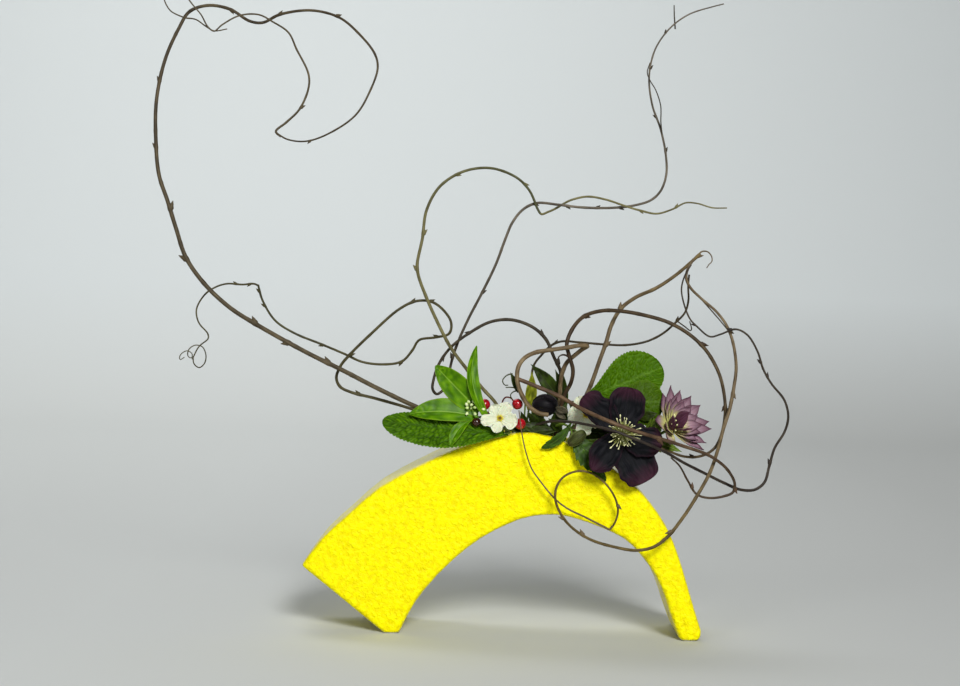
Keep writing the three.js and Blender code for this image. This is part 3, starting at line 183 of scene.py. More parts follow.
def buildCamera():
    lens = bpy.data.cameras.new("viewerLens")
    lens.lens = cameraSetup["lens"]
    lens.sensor_width = cameraSetup["sensor"]
    lens.clip_start, lens.clip_end = 0.05, 30
    camera = bpy.data.objects.new("viewer", lens)
    bpy.context.scene.collection.objects.link(camera)
    upright = math.radians(90 - cameraSetup["pitchDown"])
    turn = Matrix.Rotation(upright, 4, "X") @ Matrix.Rotation(math.radians(cameraSetup["roll"]), 4, "Z")
    camera.matrix_world = Matrix.Translation(eye * mm + shift) @ turn
    bpy.context.scene.camera = camera


buildCamera()
print("camera placed")


vase = {
    "spacing": 1.43,  # millimetres between the vertices of the fine surface
    "smoothRounds": 5,
    "lumpSize": 4.2,  # millimetres across a lump of the rough faces
    "lumpDepth": 1.25,
    "fineDepth": 1.3,  # the finer wrinkles between the lumps
    "waveSize": 21,
    "waveDepth": 0.8,
    "faceTurn": (0.35, 0.9),  # how far a face looks forward where its relief starts and is full
    "sideShare": 0.12,  # of the relief that the narrow sides keep
    "rimWidth": 1.2,  # from a wide face to where the smooth side starts
    "bareFoot": 0.9,  # the height up to which the foot is unglazed
    "bareTone": "#e9e4c4",
    # both glaze ramps run from painted shade in the hollows to the full yellow on the lumps
    "roughTones": ((0.0, "#f4e200"), (0.2, "#faee00"), (0.34, "#fff600"), (1.0, "#fffa00")),
    "smoothTones": ((0.0, "#f4e400"), (1.0, "#fbf000")),
}


def lumpPattern(tree, place):  # the same lumps for the mesh and for the glaze's colour, which paints shade in the hollows
    lumps = addNode(tree, "ShaderNodeTexVoronoi", {
        "Vector": place, "Scale": 1 / (vase["lumpSize"] * mm), "Smoothness": 0.55}, feature="SMOOTH_F1")
    grain = addNode(tree, "ShaderNodeTexNoise", {
        "Vector": place, "Scale": 1.5 / (vase["lumpSize"] * mm), "Detail": 3.0, "Roughness": 0.55})
    hollow = addNode(tree, "ShaderNodeMath", {0: lumps, 1: -0.55}, operation="MULTIPLY")
    return addNode(tree, "ShaderNodeMath", {0: hollow, 1: grain}, operation="ADD")


def buildGlazeTree():  # raises the two wide faces by a formula; the narrow sides stay smooth
    tree = addTree("roughFaces", {"Lump depth": "Float", "Wave depth": "Float"})
    source = addNode(tree, "NodeGroupInput")
    place = addNode(tree, "GeometryNodeInputPosition")
    normal = addNode(tree, "GeometryNodeInputNormal")
    side = addNode(tree, "ShaderNodeSeparateXYZ", {0: normal}).outputs["Y"]
    flat = addNode(tree, "ShaderNodeMath", {0: side}, operation="ABSOLUTE")
    turnStarts, turnFull = vase["faceTurn"]
    mask = addNode(tree, "ShaderNodeMapRange", {
        "Value": flat, "From Min": turnStarts, "From Max": turnFull, "To Min": vase["sideShare"]})
    wave = addNode(tree, "ShaderNodeTexNoise", {
        "Vector": place, "Scale": 1 / (vase["waveSize"] * mm), "Detail": 1.0})
    centred = addNode(tree, "ShaderNodeMath", {0: wave, 1: 0.5}, operation="SUBTRACT")
    rises = [addNode(tree, "ShaderNodeMath", {0: shape, 1: source.outputs[depth]}, operation="MULTIPLY")
             for shape, depth in ((lumpPattern(tree, place), "Lump depth"), (centred, "Wave depth"))]
    rise = addNode(tree, "ShaderNodeMath", {0: rises[0], 1: rises[1]}, operation="ADD")
    masked = addNode(tree, "ShaderNodeMath", {0: rise, 1: mask}, operation="MULTIPLY")
    offset = addNode(tree, "ShaderNodeVectorMath", {0: normal, "Scale": masked}, operation="SCALE")
    moved = addNode(tree, "GeometryNodeSetPosition", {"Geometry": source, "Offset": offset})
    addNode(tree, "NodeGroupOutput", {0: moved})
    return tree


def glazedStoneware(name, tones, gloss, shine, coat):
    # Stoneware in a thick shiny yellow glaze: saturated, with painted shade making it more golden in the
    # hollows
    finish, tree, place = startFinish(name, {
        "IOR": 1.52, "Roughness": gloss, "Specular IOR Level": shine, "Coat Weight": coat,
        "Coat Roughness": 0.08}, "place")
    tone = addNode(tree, "ShaderNodeValToRGB", {0: lumpPattern(tree, place)}, stops=tones)
    height = addNode(tree, "ShaderNodeSeparateXYZ", {0: place}).outputs["Z"]
    bare = addNode(tree, "ShaderNodeMath", {0: height, 1: vase["bareFoot"] * mm}, operation="LESS_THAN")
    colour = addNode(tree, "ShaderNodeMix", {"Factor": bare, "A": tone, "B": linear(vase["bareTone"])},
                     data_type="RGBA")
    fine = addNode(tree, "ShaderNodeTexNoise", {
        "Vector": place, "Scale": 1.5 / (vase["lumpSize"] * mm), "Detail": 3.0, "Distortion": 0.9})
    return endFinish(finish, colour, fine, vase["fineDepth"])


def buildVase():
    piece = bpy.data.objects.new("archedVase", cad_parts["vase"].data.copy())
    bpy.context.scene.collection.objects.link(piece)
    weld = piece.modifiers.new("weld", "WELD")
    weld.merge_threshold = 1e-5
    remesh = piece.modifiers.new("remesh", "REMESH")
    remesh.mode, remesh.voxel_size, remesh.use_smooth_shade = "VOXEL", vase["spacing"] * mm, True
    smooth = piece.modifiers.new("smooth", "SMOOTH")
    smooth.factor, smooth.iterations = 0.5, vase["smoothRounds"]
    keepMesh(piece)
    applyTree(piece, buildGlazeTree(), {
        "Lump depth": vase["lumpDepth"] * mm, "Wave depth": vase["waveDepth"] * mm})
    for vertex in piece.data.vertices:
        vertex.co.z = max(vertex.co.z, 0)
    piece.data.materials.clear()
    piece.data.materials.append(glazedStoneware("roughGlaze", vase["roughTones"], 0.4, 0.08, 0.0))
    piece.data.materials.append(glazedStoneware("smoothGlaze", vase["smoothTones"], 0.3, 0.35, 0.25))
    low, high = (corner.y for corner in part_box("vase"))
    rim = vase["rimWidth"] * mm
    for face in piece.data.polygons:  # the wide faces are rough, the narrow sides and the top are smooth
        face.material_index = int(low + rim < face.center.y < high - rim)
    piece.data.polygons.foreach_set("use_smooth", [True] * len(piece.data.polygons))
    settle(piece, "glaze", "vase")


def clearWater():
    # Still tap water: colourless and clear, with a faint ripple
    finish, tree, place = startFinish("stillWater", {
        "IOR": 1.333, "Roughness": 0.02, "Base Color": linear("#e6f2f0"),
        "Transmission Weight": 1.0}, "place")
    return endFinish(finish, None, addNode(tree, "ShaderNodeTexNoise", {"Vector": place, "Scale": 60.0}), 0.2)


buildVase()
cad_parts["water"].data.materials.clear()
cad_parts["water"].data.materials.append(clearWater())
print("vase glazed and filled")


stemDetail = {
    "step": 1.1,  # millimetres between rings
    "sides": 12,
    "slimmer": 0.97,  # a round stem against the six-cornered one it stands for
    "ridgeDepth": 0.1,
    "knuckleReach": 1.7,  # millimetres of a swelling along the stem
    "knuckleSwell": 0.32,
    "nodeGap": 33,  # millimetres between the small swellings where leaves once grew
    "barkRun": 650.0,  # the bark pattern's steps along a metre of stem
    "budLength": (3.6, 1.4),  # its least, and how much more for each millimetre of the stem's radius
    "stalk": {"sides": 10, "ridge": 0.05},
    "thread": {"sides": 8, "ridge": 0.04},
    "stalkRise": (106, 128, 148),  # the heights at which every stalk stands straight in the vase
}


def smoothRoute(route):  # a centripetal curve through the route, as points and lengths travelled
    points = [2 * route[0] - route[1], *route, 2 * route[-1] - route[-2]]
    fine = []
    for k in range(1, len(points) - 2):
        a, b, c, d = points[k - 1:k + 3]
        t1 = max((b - a).length, 1e-6) ** 0.5
        t2 = t1 + max((c - b).length, 1e-6) ** 0.5
        t3 = t2 + max((d - c).length, 1e-6) ** 0.5
        steps = max(3, round((c - b).length / (0.5 * mm)))
        for n in range(steps):
            t = t1 + (t2 - t1) * n / steps
            p1 = a * (t1 - t) / t1 + b * t / t1
            p2 = b * (t2 - t) / (t2 - t1) + c * (t - t1) / (t2 - t1)
            p3 = c * (t3 - t) / (t3 - t2) + d * (t - t2) / (t3 - t2)
            q1 = p1 * (t2 - t) / t2 + p2 * t / t2
            q2 = p2 * (t3 - t) / (t3 - t1) + p3 * (t - t1) / (t3 - t1)
            fine.append(q1 * (t2 - t) / (t2 - t1) + q2 * (t - t1) / (t2 - t1))
    fine.append(route[-1])
    lengths = [0]
    for a, b in zip(fine, fine[1:]):
        lengths.append(lengths[-1] + (b - a).length)
    return fine, lengths


def between(stops, share):
    for (fromShare, fromValue), (toShare, toValue) in zip(stops, stops[1:]):
        if share <= toShare:
            return fromValue + (toValue - fromValue) * (share - fromShare) / (toShare - fromShare)
    return stops[-1][1]


def addStrand(batch, strand, reading, knuckled):
    def add(point, thickness, budSize, aim):
        for key, value in zip(batch, (point, thickness, budSize, aim)):
            batch[key].append(value)

    fine, lengths = smoothRoute([reading(place) for place in strand["route"]])
    total = lengths[-1]
    buds = []
    for x, z, lean, *size in strand.get("buds", []):
        aim = reading((x, z, 0)) - eye * mm - shift
        gap, place = min(
            ((p - eye * mm - shift).cross(aim).length / aim.length, k) for k, p in enumerate(fine))
        buds.append((place, lean, size[0] if size else 1))
    knuckles = [(lengths[place], 0.5 * size) for place, _, size in buds]
    if knuckled:
        count = int(total / (stemDetail["nodeGap"] * mm))
        knuckles += [(total * (k + 0.5 + 0.3 * math.sin(5 * k)) / max(count, 1), 0.3) for k in range(count)]
    start = len(batch["points"])
    wanted = 0
    for k, point in enumerate(fine):
        if lengths[k] < wanted and k < len(fine) - 1:
            continue
        wanted = lengths[k] + stemDetail["step"] * mm
        swell = sum(
            strength * stemDetail["knuckleSwell"]
            * math.exp(-((lengths[k] - place) / (stemDetail["knuckleReach"] * mm)) ** 2)
            for place, strength in knuckles)
        radius = between(strand["radius"], lengths[k] / total)
        add(point, radius * mm * stemDetail["slimmer"] * (1 + swell), 0, (0, 0, 1))
    edges = [(k, k + 1) for k in range(start, len(batch["points"]) - 1)]
    least, more = stemDetail["budLength"]
    for place, lean, size in buds:
        ahead = (fine[min(place + 2, len(fine) - 1)] - fine[max(place - 2, 0)]).normalized()
        aside = Vector((-ahead.z, 0, ahead.x)).normalized() * lean
        radius = between(strand["radius"], lengths[place] / total)
        add(fine[place] + aside * 0.25 * radius * mm, 0, size * (least + more * radius) * mm,
            (ahead * 0.8 + aside * 0.55).normalized())
    return edges


def ringFaces(count, sides):  # the faces over a row of rings, and over both ends
    faces = []
    for k in range(count - 1):
        for j in range(sides):
            a, b = k * sides + j, k * sides + (j + 1) % sides
            faces.append((a, b, b + sides, a + sides))
    return faces + [tuple(reversed(range(sides))), tuple(range((count - 1) * sides, count * sides))]


def budShape():  # a pointed scaly bud one unit long
    rings = ((-0.2, 0.12), (-0.1, 0.2), (0.05, 0.23), (0.22, 0.2), (0.42, 0.13), (0.6, 0.07), (0.74, 0.02))
    points = []
    for k, (z, r) in enumerate(rings):
        for j in range(8):
            turn = 2 * math.pi * (j + 0.5 * k) / 8
            flute = 1 + 0.18 * math.cos(2 * turn)
            points.append((r * flute * math.cos(turn), r * flute * math.sin(turn), z))
    return useMesh("budShape", points, ringFaces(len(rings), 8))


def buildStemTree():
    tree = addTree("stemAlongRoute", {
        "Sides": "Int", "Ridge depth": "Float", "Bud": "Object", "Finish": "Material"})
    source = addNode(tree, "NodeGroupInput")
    number, vector = {"data_type": "FLOAT"}, {"data_type": "FLOAT_VECTOR"}
    read = {key: addNode(tree, "GeometryNodeInputNamedAttribute", {"Name": key}, **kind) for key, kind in (
        ("thickness", number), ("travelled", number), ("budSize", number), ("ring", vector), ("aim", vector))}
    line = addNode(tree, "GeometryNodeMeshToCurve", {"Mesh": source})
    measured = addNode(tree, "GeometryNodeStoreNamedAttribute", {
        "Geometry": line, "Name": "travelled",
        "Value": addNode(tree, "GeometryNodeSplineParameter").outputs["Length"]}, domain="POINT", **number)
    circle = addNode(tree, "GeometryNodeCurvePrimitiveCircle", {
        "Resolution": source.outputs["Sides"], "Radius": 1.0})
    ring = addNode(tree, "GeometryNodeStoreNamedAttribute", {
        "Geometry": circle, "Name": "ring", "Value": addNode(tree, "GeometryNodeInputPosition"),
    }, domain="POINT", **vector)
    tube = addNode(tree, "GeometryNodeCurveToMesh", {
        "Curve": measured, "Profile Curve": ring, "Scale": read["thickness"], "Fill Caps": True})
    split = addNode(tree, "ShaderNodeSeparateXYZ", {0: read["ring"]})
    run = addNode(tree, "ShaderNodeMath", {0: read["travelled"], 1: stemDetail["barkRun"]},
                  operation="MULTIPLY")
    barkPlace = addNode(tree, "ShaderNodeCombineXYZ", {
        "X": split.outputs["X"], "Y": split.outputs["Y"], "Z": run})
    placed = addNode(tree, "GeometryNodeStoreNamedAttribute", {
        "Geometry": tube, "Name": "barkPlace", "Value": barkPlace}, domain="POINT", **vector)
    stretched = addNode(tree, "ShaderNodeVectorMath", {0: barkPlace, 1: (1.0, 1.0, 0.3)},
                        operation="MULTIPLY")
    ridges = addNode(tree, "ShaderNodeTexNoise", {"Vector": stretched, "Scale": 1.3, "Detail": 1.0})
    centred = addNode(tree, "ShaderNodeMath", {0: ridges, 1: 0.5}, operation="SUBTRACT")
    depth = addNode(tree, "ShaderNodeMath", {0: centred, 1: source.outputs["Ridge depth"]},
                    operation="MULTIPLY")
    offset = addNode(tree, "ShaderNodeVectorMath", {
        0: addNode(tree, "GeometryNodeInputNormal"), "Scale": depth}, operation="SCALE")
    ridged = addNode(tree, "GeometryNodeSetPosition", {"Geometry": placed, "Offset": offset})
    isBud = addNode(tree, "FunctionNodeCompare", {0: read["budSize"], 1: 1e-6}, operation="GREATER_THAN",
                    **number)
    budPoints = addNode(tree, "GeometryNodeSeparateGeometry", {"Geometry": source, "Selection": isBud},
                        domain="POINT")
    turned = addNode(tree, "FunctionNodeAlignRotationToVector", {"Vector": read["aim"]}, axis="Z")
    shape = addNode(tree, "GeometryNodeObjectInfo", {"Object": source.outputs["Bud"]}).outputs["Geometry"]
    buds = addNode(tree, "GeometryNodeInstanceOnPoints", {
        "Points": budPoints, "Instance": shape, "Rotation": turned, "Scale": read["budSize"]})
    joined = addNode(tree, "GeometryNodeJoinGeometry")
    for part in (ridged, buds):
        tree.links.new(part.outputs[0], joined.inputs[0])
    real = addNode(tree, "GeometryNodeRealizeInstances", {0: joined})
    soft = addNode(tree, "GeometryNodeSetShadeSmooth", {0: real})
    addNode(tree, "NodeGroupOutput", {0: addNode(tree, "GeometryNodeSetMaterial", {
        "Geometry": soft, "Material": source.outputs["Finish"]})})
    return tree


stemTree = buildStemTree()
budPiece = budShape()


def growStems(name, strands, reading, finish, slot, *nodes, sides=stemDetail["sides"],
              ridge=stemDetail["ridgeDepth"], knuckled=True):
    batch = {"points": [], "thickness": [], "budSize": [], "aim": []}
    edges = []
    for strand in strands:
        edges += addStrand(batch, strand, reading, knuckled)
    points = batch.pop("points")
    piece = useMesh(name, points, [], None, batch, edges)
    applyTree(piece, stemTree, {"Sides": sides, "Ridge depth": ridge * mm, "Bud": budPiece, "Finish": finish})
    settle(piece, slot, *nodes)


def vineBark(name, tones, gloss, young):
    # Thin young bark of a climbing vine: satin, streaked along its length, paler on worn ridges
    finish, tree, place, travelled = startFinish(
        name, {"IOR": 1.45, "Roughness": gloss, "Specular IOR Level": 0.22}, "barkPlace", "travelled")
    long = addNode(tree, "ShaderNodeVectorMath", {0: place, 1: (1.0, 1.0, 0.16)}, operation="MULTIPLY")
    streaks = addNode(tree, "ShaderNodeTexNoise", {
        "Vector": long, "Scale": 1.5, "Detail": 3.0, "Roughness": 0.6})
    patches = addNode(tree, "ShaderNodeTexNoise", {"Vector": place, "Scale": 0.09, "Detail": 2.0})
    both = addNode(tree, "ShaderNodeMix", {"Factor": 0.5, "A": streaks, "B": patches}, data_type="FLOAT")
    youngTones, start, full = young
    old, fresh = (addNode(tree, "ShaderNodeValToRGB", {0: both}, stops=zip((0.34, 0.5, 0.66), mixed))
                  for mixed in (tones, youngTones))
    share = addNode(tree, "ShaderNodeMapRange", {"Value": travelled, "From Min": start, "From Max": full})
    colour = addNode(tree, "ShaderNodeMix", {"Factor": share, "A": old, "B": fresh}, data_type="RGBA")
    return endFinish(finish, colour, streaks, 0.25)


# Each vine's bark tones run dark, middle, light. Its young end has tones of its own, then the metres
# from the root where they start and where they are full. A strand has (share of its length, radius)
# pairs, a route, and buds as (x, z, side, size).
vines = {
    "leftSweepingVine": {
        "nodes": ("left_sweeping_vine",), "slot": "brown_bark", "gloss": 0.55,
        "bark": ("#2e261c", "#504632", "#6b5e46"),
        "young": (("#2a241a", "#453b2b", "#62563e"), 0.2, 0.42),
        "strands": (
            {"radius": [(0, 1.85), (0.35, 1.75), (0.6, 1.4), (0.75, 1.1), (0.87, 0.85), (1, 0.6)],
             "route": [(12, 108, -1), (8, 124, -1), (-3, 143, -1), (-16, 151.8, -1), (-40, 160.5, -1.5),
              (-66, 170, -2), (-93, 182, -1.5), (-124, 197, 0), (-150, 209, -2), (-190, 230, -6),
              (-210, 242, -7.5), (-230, 259.7, -8), (-245, 280, -7), (-253, 302, -6), (-260, 323, -5),
              (-267, 343, -3), (-270, 371, 0), (-270, 400, 4), (-264, 431, 10), (-254, 455, 15),
              (-246, 468, 18), (-232, 473, 20), (-215, 470.5, 20), (-200, 462, 19), (-190, 461, 18),
              (-177, 467.5, 15), (-153, 471.3, 8), (-131.5, 466.5, 0), (-116.5, 455, -7),
              (-103.5, 439.5, -12), (-101, 429, -14), (-106.5, 411, -18), (-117, 392.5, -20),
              (-136, 378.5, -18), (-154, 371.5, -12), (-169, 372.5, -7), (-178, 377.5, -4)],
             "buds": [(-247, 277, 1, 1.5), (-255, 318, -1, 1.5), (-190, 231, -1, 1.4), (-165, 216, 1, 1.3),
              (-133, 203, -1, 1.3), (-271, 364, 1), (-268, 415, 1), (-214, 470, -1), (-177, 468, 1),
              (-133, 468, 1, 1.2), (-151, 371, 1)]},
            {"radius": [(0, 0.95), (1, 0.5)],
             "route": [(-174, 374.5, -5), (-178, 378.2, -4), (-170, 385.5, -1), (-160, 396, 2),
              (-153.6, 412.5, 4), (-154, 423, 5), (-163.5, 441.5, 7), (-170, 454, 9), (-182.5, 462, 11),
              (-193, 467, 12.5), (-207.5, 466, 13), (-221, 458.5, 12), (-227, 453.5, 11), (-232, 457, 10),
              (-237, 465.5, 9), (-246, 476, 8), (-256, 491.5, 8)],
             "buds": [(-159, 397, -1, 1.1)]},
            {"radius": [(0, 0.6), (1, 0.45)],
             "route": [(-249, 463, 16), (-256, 465.5, 14), (-261, 468.5, 12), (-265.5, 476, 11),
              (-267, 484, 10)]},
            {"radius": [(0, 0.6), (1, 0.45)],
             "route": [(-249, 463, 16), (-241, 462, 13), (-234, 457.5, 12), (-227, 453.8, 11.3),
              (-217, 455.5, 11)]},
        ),
    },
    "leftLoopedVine": {
        "nodes": ("left_looped_vine",), "slot": "olive_bark", "gloss": 0.55,
        "bark": ("#2b2718", "#474127", "#615b3b"),
        "young": (("#1f2014", "#363823", "#4e5135"), 0.35, 0.6),
        "strands": (
            {"radius": [(0, 1.3), (0.3, 1.2), (0.6, 1.05), (1, 0.85)],
             "route": [(10, 108, 10), (6, 124, 10), (-6, 144, 9), (-18, 152, 9), (-42, 159.5, 10),
              (-69, 168, 10), (-98, 175.5, 10), (-115, 179.3, 9), (-124, 183.5, 8.5), (-127, 190, 8),
              (-124, 199.5, 6), (-117, 208.5, 4), (-101, 225, 3), (-80, 244.4, 4), (-67, 251, 6),
              (-55, 250.8, 7.5), (-45, 243.8, 9), (-39.6, 235, 9), (-41, 226.7, 9.5), (-51.7, 223.5, 11),
              (-64, 221, 12), (-69, 213, 13), (-76.5, 204.5, 13), (-89, 201.7, 13), (-107, 203, 12),
              (-121.5, 209, 10), (-139.5, 216, 6), (-160.5, 224, 3), (-175.5, 233.5, 2), (-185.5, 249, 2),
              (-189, 260.5, 2)],
             "buds": [(-109, 178.5, -1, 1.1), (-118, 209.5, -1, 1.1), (-70, 251.5, 1), (-56, 251.5, 1),
              (-50, 223.5, -1), (-77, 203.5, 1, 1.1), (-138, 215.5, 1), (-184, 244, 1), (-188, 255, 1)]},
            {"radius": [(0, 0.8), (0.5, 0.65), (1, 0.5)],
             "route": [(-188.4, 259.5, 2), (-192, 261, 2.3), (-201, 260.2, 3), (-213, 260.5, 4),
              (-222, 257.5, 4), (-230, 251.5, 3), (-236, 240, 1.5), (-234, 230, 0), (-227, 221.8, -2),
              (-226.5, 218, -3), (-233.5, 211.5, -4), (-238.5, 201.5, -5)],
             "buds": [(-206, 260, -1, 0.9), (-195, 261.3, 1, 0.9)]},
            {"radius": [(0, 0.5), (1, 0.35)],
             "route": [(-237.8, 203.3, -4.8), (-237.2, 198.5, -5.5), (-233, 195.3, -7), (-228.8, 199, -8.5),
              (-228, 205.5, -9.5), (-231, 211.5, -10.5), (-236.5, 212.5, -11.5), (-241.3, 209, -12.5),
              (-241.8, 204, -13), (-239, 202.6, -13.8), (-238.7, 206, -15), (-243, 208, -16),
              (-247.8, 204.5, -17), (-248, 201, -17.5), (-244.5, 203, -18)]},
        ),
    },
    "middleHoopedVine": {
        "nodes": ("middle_hooped_vine",), "slot": "olive_bark", "gloss": 0.55,
        "bark": ("#454126", "#6a6440", "#8a8458"),
        "young": (("#24260f", "#404227", "#5c5e3c"), 0.2, 0.36),
        "strands": (
            {"radius": [(0, 1.4), (0.35, 1.35), (0.8, 1.1), (1, 0.95)],
             "route": [(7, 104, 6), (7, 128, 6), (5, 154, 6), (-3, 173, 4.5), (-13.5, 184.5, 4),
              (-27, 200, 3.5), (-39.5, 216, 2.5), (-49.8, 234.5, 1), (-59.6, 255, 0), (-66, 271.5, 0),
              (-66.9, 279.5, 0), (-63.4, 299.5, 1), (-60.8, 321, 3), (-51, 339.5, 6), (-33.4, 351.4, 9),
              (-12.2, 354.6, 10), (7.9, 347.8, 9), (18, 338, 6.5), (24.5, 324.3, 3), (26.6, 320.8, 2.4)],
             "buds": [(-68.5, 275, 1, 1.2), (-62, 303, -1, 1.2), (-38, 349, -1), (14, 343, 1),
              (-25, 198, -1, 1.2)]},
            {"radius": [(0, 0.9), (0.6, 0.8), (1, 0.5)],
             "route": [(25.4, 322.6, 2.8), (27.5, 320.4, 2.6), (33, 322.4, 5), (38, 324.8, 9.8),
              (44, 328.6, 12.2), (50, 331.8, 12), (62.8, 334.8, 10), (77, 332.8, 8), (91.2, 328.5, 4.5),
              (104.3, 325, 4), (116, 323.1, 3), (128, 326.8, 1), (138, 332, -1), (146.9, 331.8, -3),
              (158.7, 328.8, -6), (170, 328.9, -9)],
             "buds": [(131, 328.4, 1, 1), (104, 325, -1, 0.9)]},
        ),
    },
    "tallVine": {
        "nodes": ("tall_vine",), "slot": "grey_bark", "gloss": 0.6,
        "bark": ("#1f1b14", "#3b3428", "#564d3b"),
        "young": (("#352f27", "#5c5448", "#7c7262"), 0.26, 0.4),
        "strands": (
            {"radius": [(0, 1.45), (0.22, 1.3), (0.3, 1.1), (0.55, 1.1), (0.75, 0.95), (1, 0.5)],
             "route": [(46, 104, 6), (46, 128, 6), (46, 158, 6), (46.2, 190, 6), (45.5, 200, 5.5),
              (40.4, 210.5, 5), (33.4, 224.7, 5), (22.6, 233.7, 6), (6.5, 238.6, 8), (-9.5, 236.5, 9),
              (-25, 227.8, 8), (-39.5, 216, 8), (-48.5, 202.5, 7), (-52, 191, 6.5), (-52.6, 183.5, 6.5),
              (-49.5, 179.8, 7), (-45, 182.5, 9), (-41, 190, 12), (-39, 203, 14), (-35, 217.5, 14),
              (-26.7, 237.8, 13), (-16.5, 258.7, 11), (-6.4, 281, 9), (0.5, 301, 7), (5.5, 313.5, 7),
              (13.8, 324, 7.5), (24, 328.8, 8), (40, 328, 6), (58.2, 326.4, 6), (81.8, 326.7, 8),
              (98.3, 328.9, 9.5), (111.4, 333.4, 10), (118.5, 340.5, 10), (122.5, 353, 10),
              (121.8, 368, 8.5), (117.1, 388, 5), (110.4, 405.4, 0), (107.2, 424, -4), (108.2, 438, -6),
              (112.2, 451, -6), (122.4, 465.5, -4), (136.3, 476, 0), (153.9, 482.2, 4), (162.5, 484.6, 6)],
             "buds": [(31, 228.5, -1), (43.5, 206, -1, 1.4), (-26, 228, -1), (-46, 209, 1),
              (-37.5, 208, 1, 1.2), (-16.5, 259, -1), (22, 329, -1), (47, 327, -1), (70, 326, 1, 0.9),
              (88, 328, -1), (121, 371, -1), (113, 397, 1, 0.9), (108, 434, -1), (119, 461, 1, 0.9)]},
            {"radius": [(0, 0.6), (1, 0.42)],
             "route": [(126, 464.5, -3), (125, 475, -2.5), (124.6, 482.6, -2)]},
            {"radius": [(0, 0.5), (1, 0.4)],
             "route": [(118.6, 383, 6), (117.2, 393, 1), (116.6, 406, -4), (112.3, 418, -7),
              (107.8, 425, -6.6), (105.6, 431, -7), (107.6, 438.5, -6.5)]},
        ),
    },
    "crestVine": {
        "nodes": ("crest_vine",), "slot": "brown_bark", "gloss": 0.55,
        "bark": ("#3f3222", "#685942", "#8a7858"),
        "young": (("#332810", "#594a28", "#7e6b3e"), 0.12, 0.26),
        "strands": (
            {"radius": [(0, 1.75), (0.6, 1.65), (1, 1.25)],
             "route": [(54, 104, 14), (54, 128, 14), (56, 152, 14), (62, 172, 14), (69.7, 191, 13),
              (75.5, 209, 12), (80, 222.6, 12), (83.6, 236, 13), (90.4, 249, 13), (101.7, 258.3, 12),
              (117.5, 266, 10), (133, 277, 9), (143, 286, 9), (150.5, 293.2, 9)],
             "buds": [(90, 249.5, 1, 1.3), (81, 221, -1, 1.2), (149, 291, -1, 1.1)]},
            {"radius": [(0, 0.75), (0.5, 0.5), (1, 0.4)],
             "route": [(149, 292, 9), (151.5, 294.9, 9), (156, 295, 8.5), (159.3, 291.5, 8),
              (159.6, 287.5, 7), (157.3, 285, 6.4), (155.8, 282.4, 6)]},
            {"radius": [(0, 1.1), (0.12, 1.05), (0.3, 1.45), (0.55, 1.3), (0.72, 1.1), (0.88, 0.8),
                        (1, 0.75)],
             "route": [(145.5, 289, 9), (141.6, 282, 7), (140.2, 275, 6), (143, 268, 5), (153, 258.3, 4),
              (164, 249.4, 2), (172.7, 238.4, 0), (177.9, 225.3, -2), (180.9, 207, -4), (179.8, 192.4, -6),
              (176.9, 174.4, -9.5), (172.4, 158.2, -15), (168.9, 143, -21), (163.3, 125, -32),
              (154, 106.7, -41), (143, 88.5, -46), (132, 74, -49), (121.5, 65.8, -50), (108, 62.8, -51),
              (92.6, 64.7, -51), (72.6, 70.2, -51), (57.5, 79.5, -50), (49, 89.5, -49.5), (44.5, 100.5, -49),
              (45.2, 110.5, -48), (50.5, 118.5, -47.5), (62, 123.2, -47), (73, 121.2, -46.5),
              (83, 113.8, -46), (90.7, 102.7, -45.5), (93.1, 92.5, -45), (90.8, 83.5, -44.5),
              (87.8, 79, -44.5)],
             "buds": [(179.5, 186, 1, 1.1), (135, 78, -1, 1.3), (66, 72.5, -1, 1.3), (51.5, 86, 1, 1.1),
              (92.5, 97, 1, 1.2), (174, 234, 1, 1.1)]},
            {"radius": [(0, 0.8), (1, 0.4)],
             "route": [(89.3, 81.3, -44.5), (87, 78.6, -44.5), (82.6, 80.5, -44.5), (68, 87.5, -44.3),
              (53.6, 94.1, -44.2), (44, 101.3, -44), (32, 115, -43.5), (25.4, 124.3, -43),
              (20.4, 137.7, -42.5), (17.1, 151.6, -41.5), (14.4, 169, -40)]},
            {"radius": [(0, 0.55), (1, 0.45)],
             "route": [(150, 260.8, 4.5), (156.5, 254, 6.2), (164, 246, 5.5), (170, 239.3, 3),
              (174.6, 233.8, -0.6)]},
        ),
    },
    "ringVine": {
        "nodes": ("ring_vine",), "slot": "red_bark", "gloss": 0.5,
        "bark": ("#21180f", "#3d2f20", "#584630"),
        "young": (("#2b2115", "#4a3d28", "#6a5a3f"), 0.12, 0.3),
        "strands": (
            {"radius": [(0, 1.65), (0.6, 1.5), (0.8, 1.25), (1, 0.9)],
             "route": [(42, 104, -12), (42, 128, -12), (43.5, 156, -12.5), (49, 181, -16),
              (54, 191.6, -19.5), (55.2, 201, -21.5), (52, 212, -22.5), (49.9, 221, -22), (53.7, 232.5, -19),
              (62.3, 242.6, -12), (76.3, 247.4, -5), (92.3, 247.4, 1), (110.2, 244.6, 5), (127.2, 240, 7),
              (143.5, 231.4, 7), (157, 219.4, 5), (167.3, 202.7, 3), (172, 187, 0.5), (173.6, 171, -2),
              (171, 153.7, -6), (166, 143.5, -10), (156.8, 137.6, -15), (144.4, 136.4, -22),
              (131.9, 140, -30), (124, 142.8, -36)],
             "buds": [(63, 243, -1, 1.2), (153, 223, 1, 1.4), (172.8, 176, -1, 1.2), (172.8, 174, 1, 1.2),
              (149.5, 136, -1, 1.1)]},
            {"radius": [(0, 0.95), (1, 0.5)],
             "route": [(52.3, 211, -22.3), (48.6, 212.6, -24), (45.8, 212.4, -25), (43.4, 210.6, -25.5)]},
        ),
    },
    "outerTrailingVine": {
        "nodes": ("outer_trailing_vine",), "slot": "dark_bark", "gloss": 0.5,
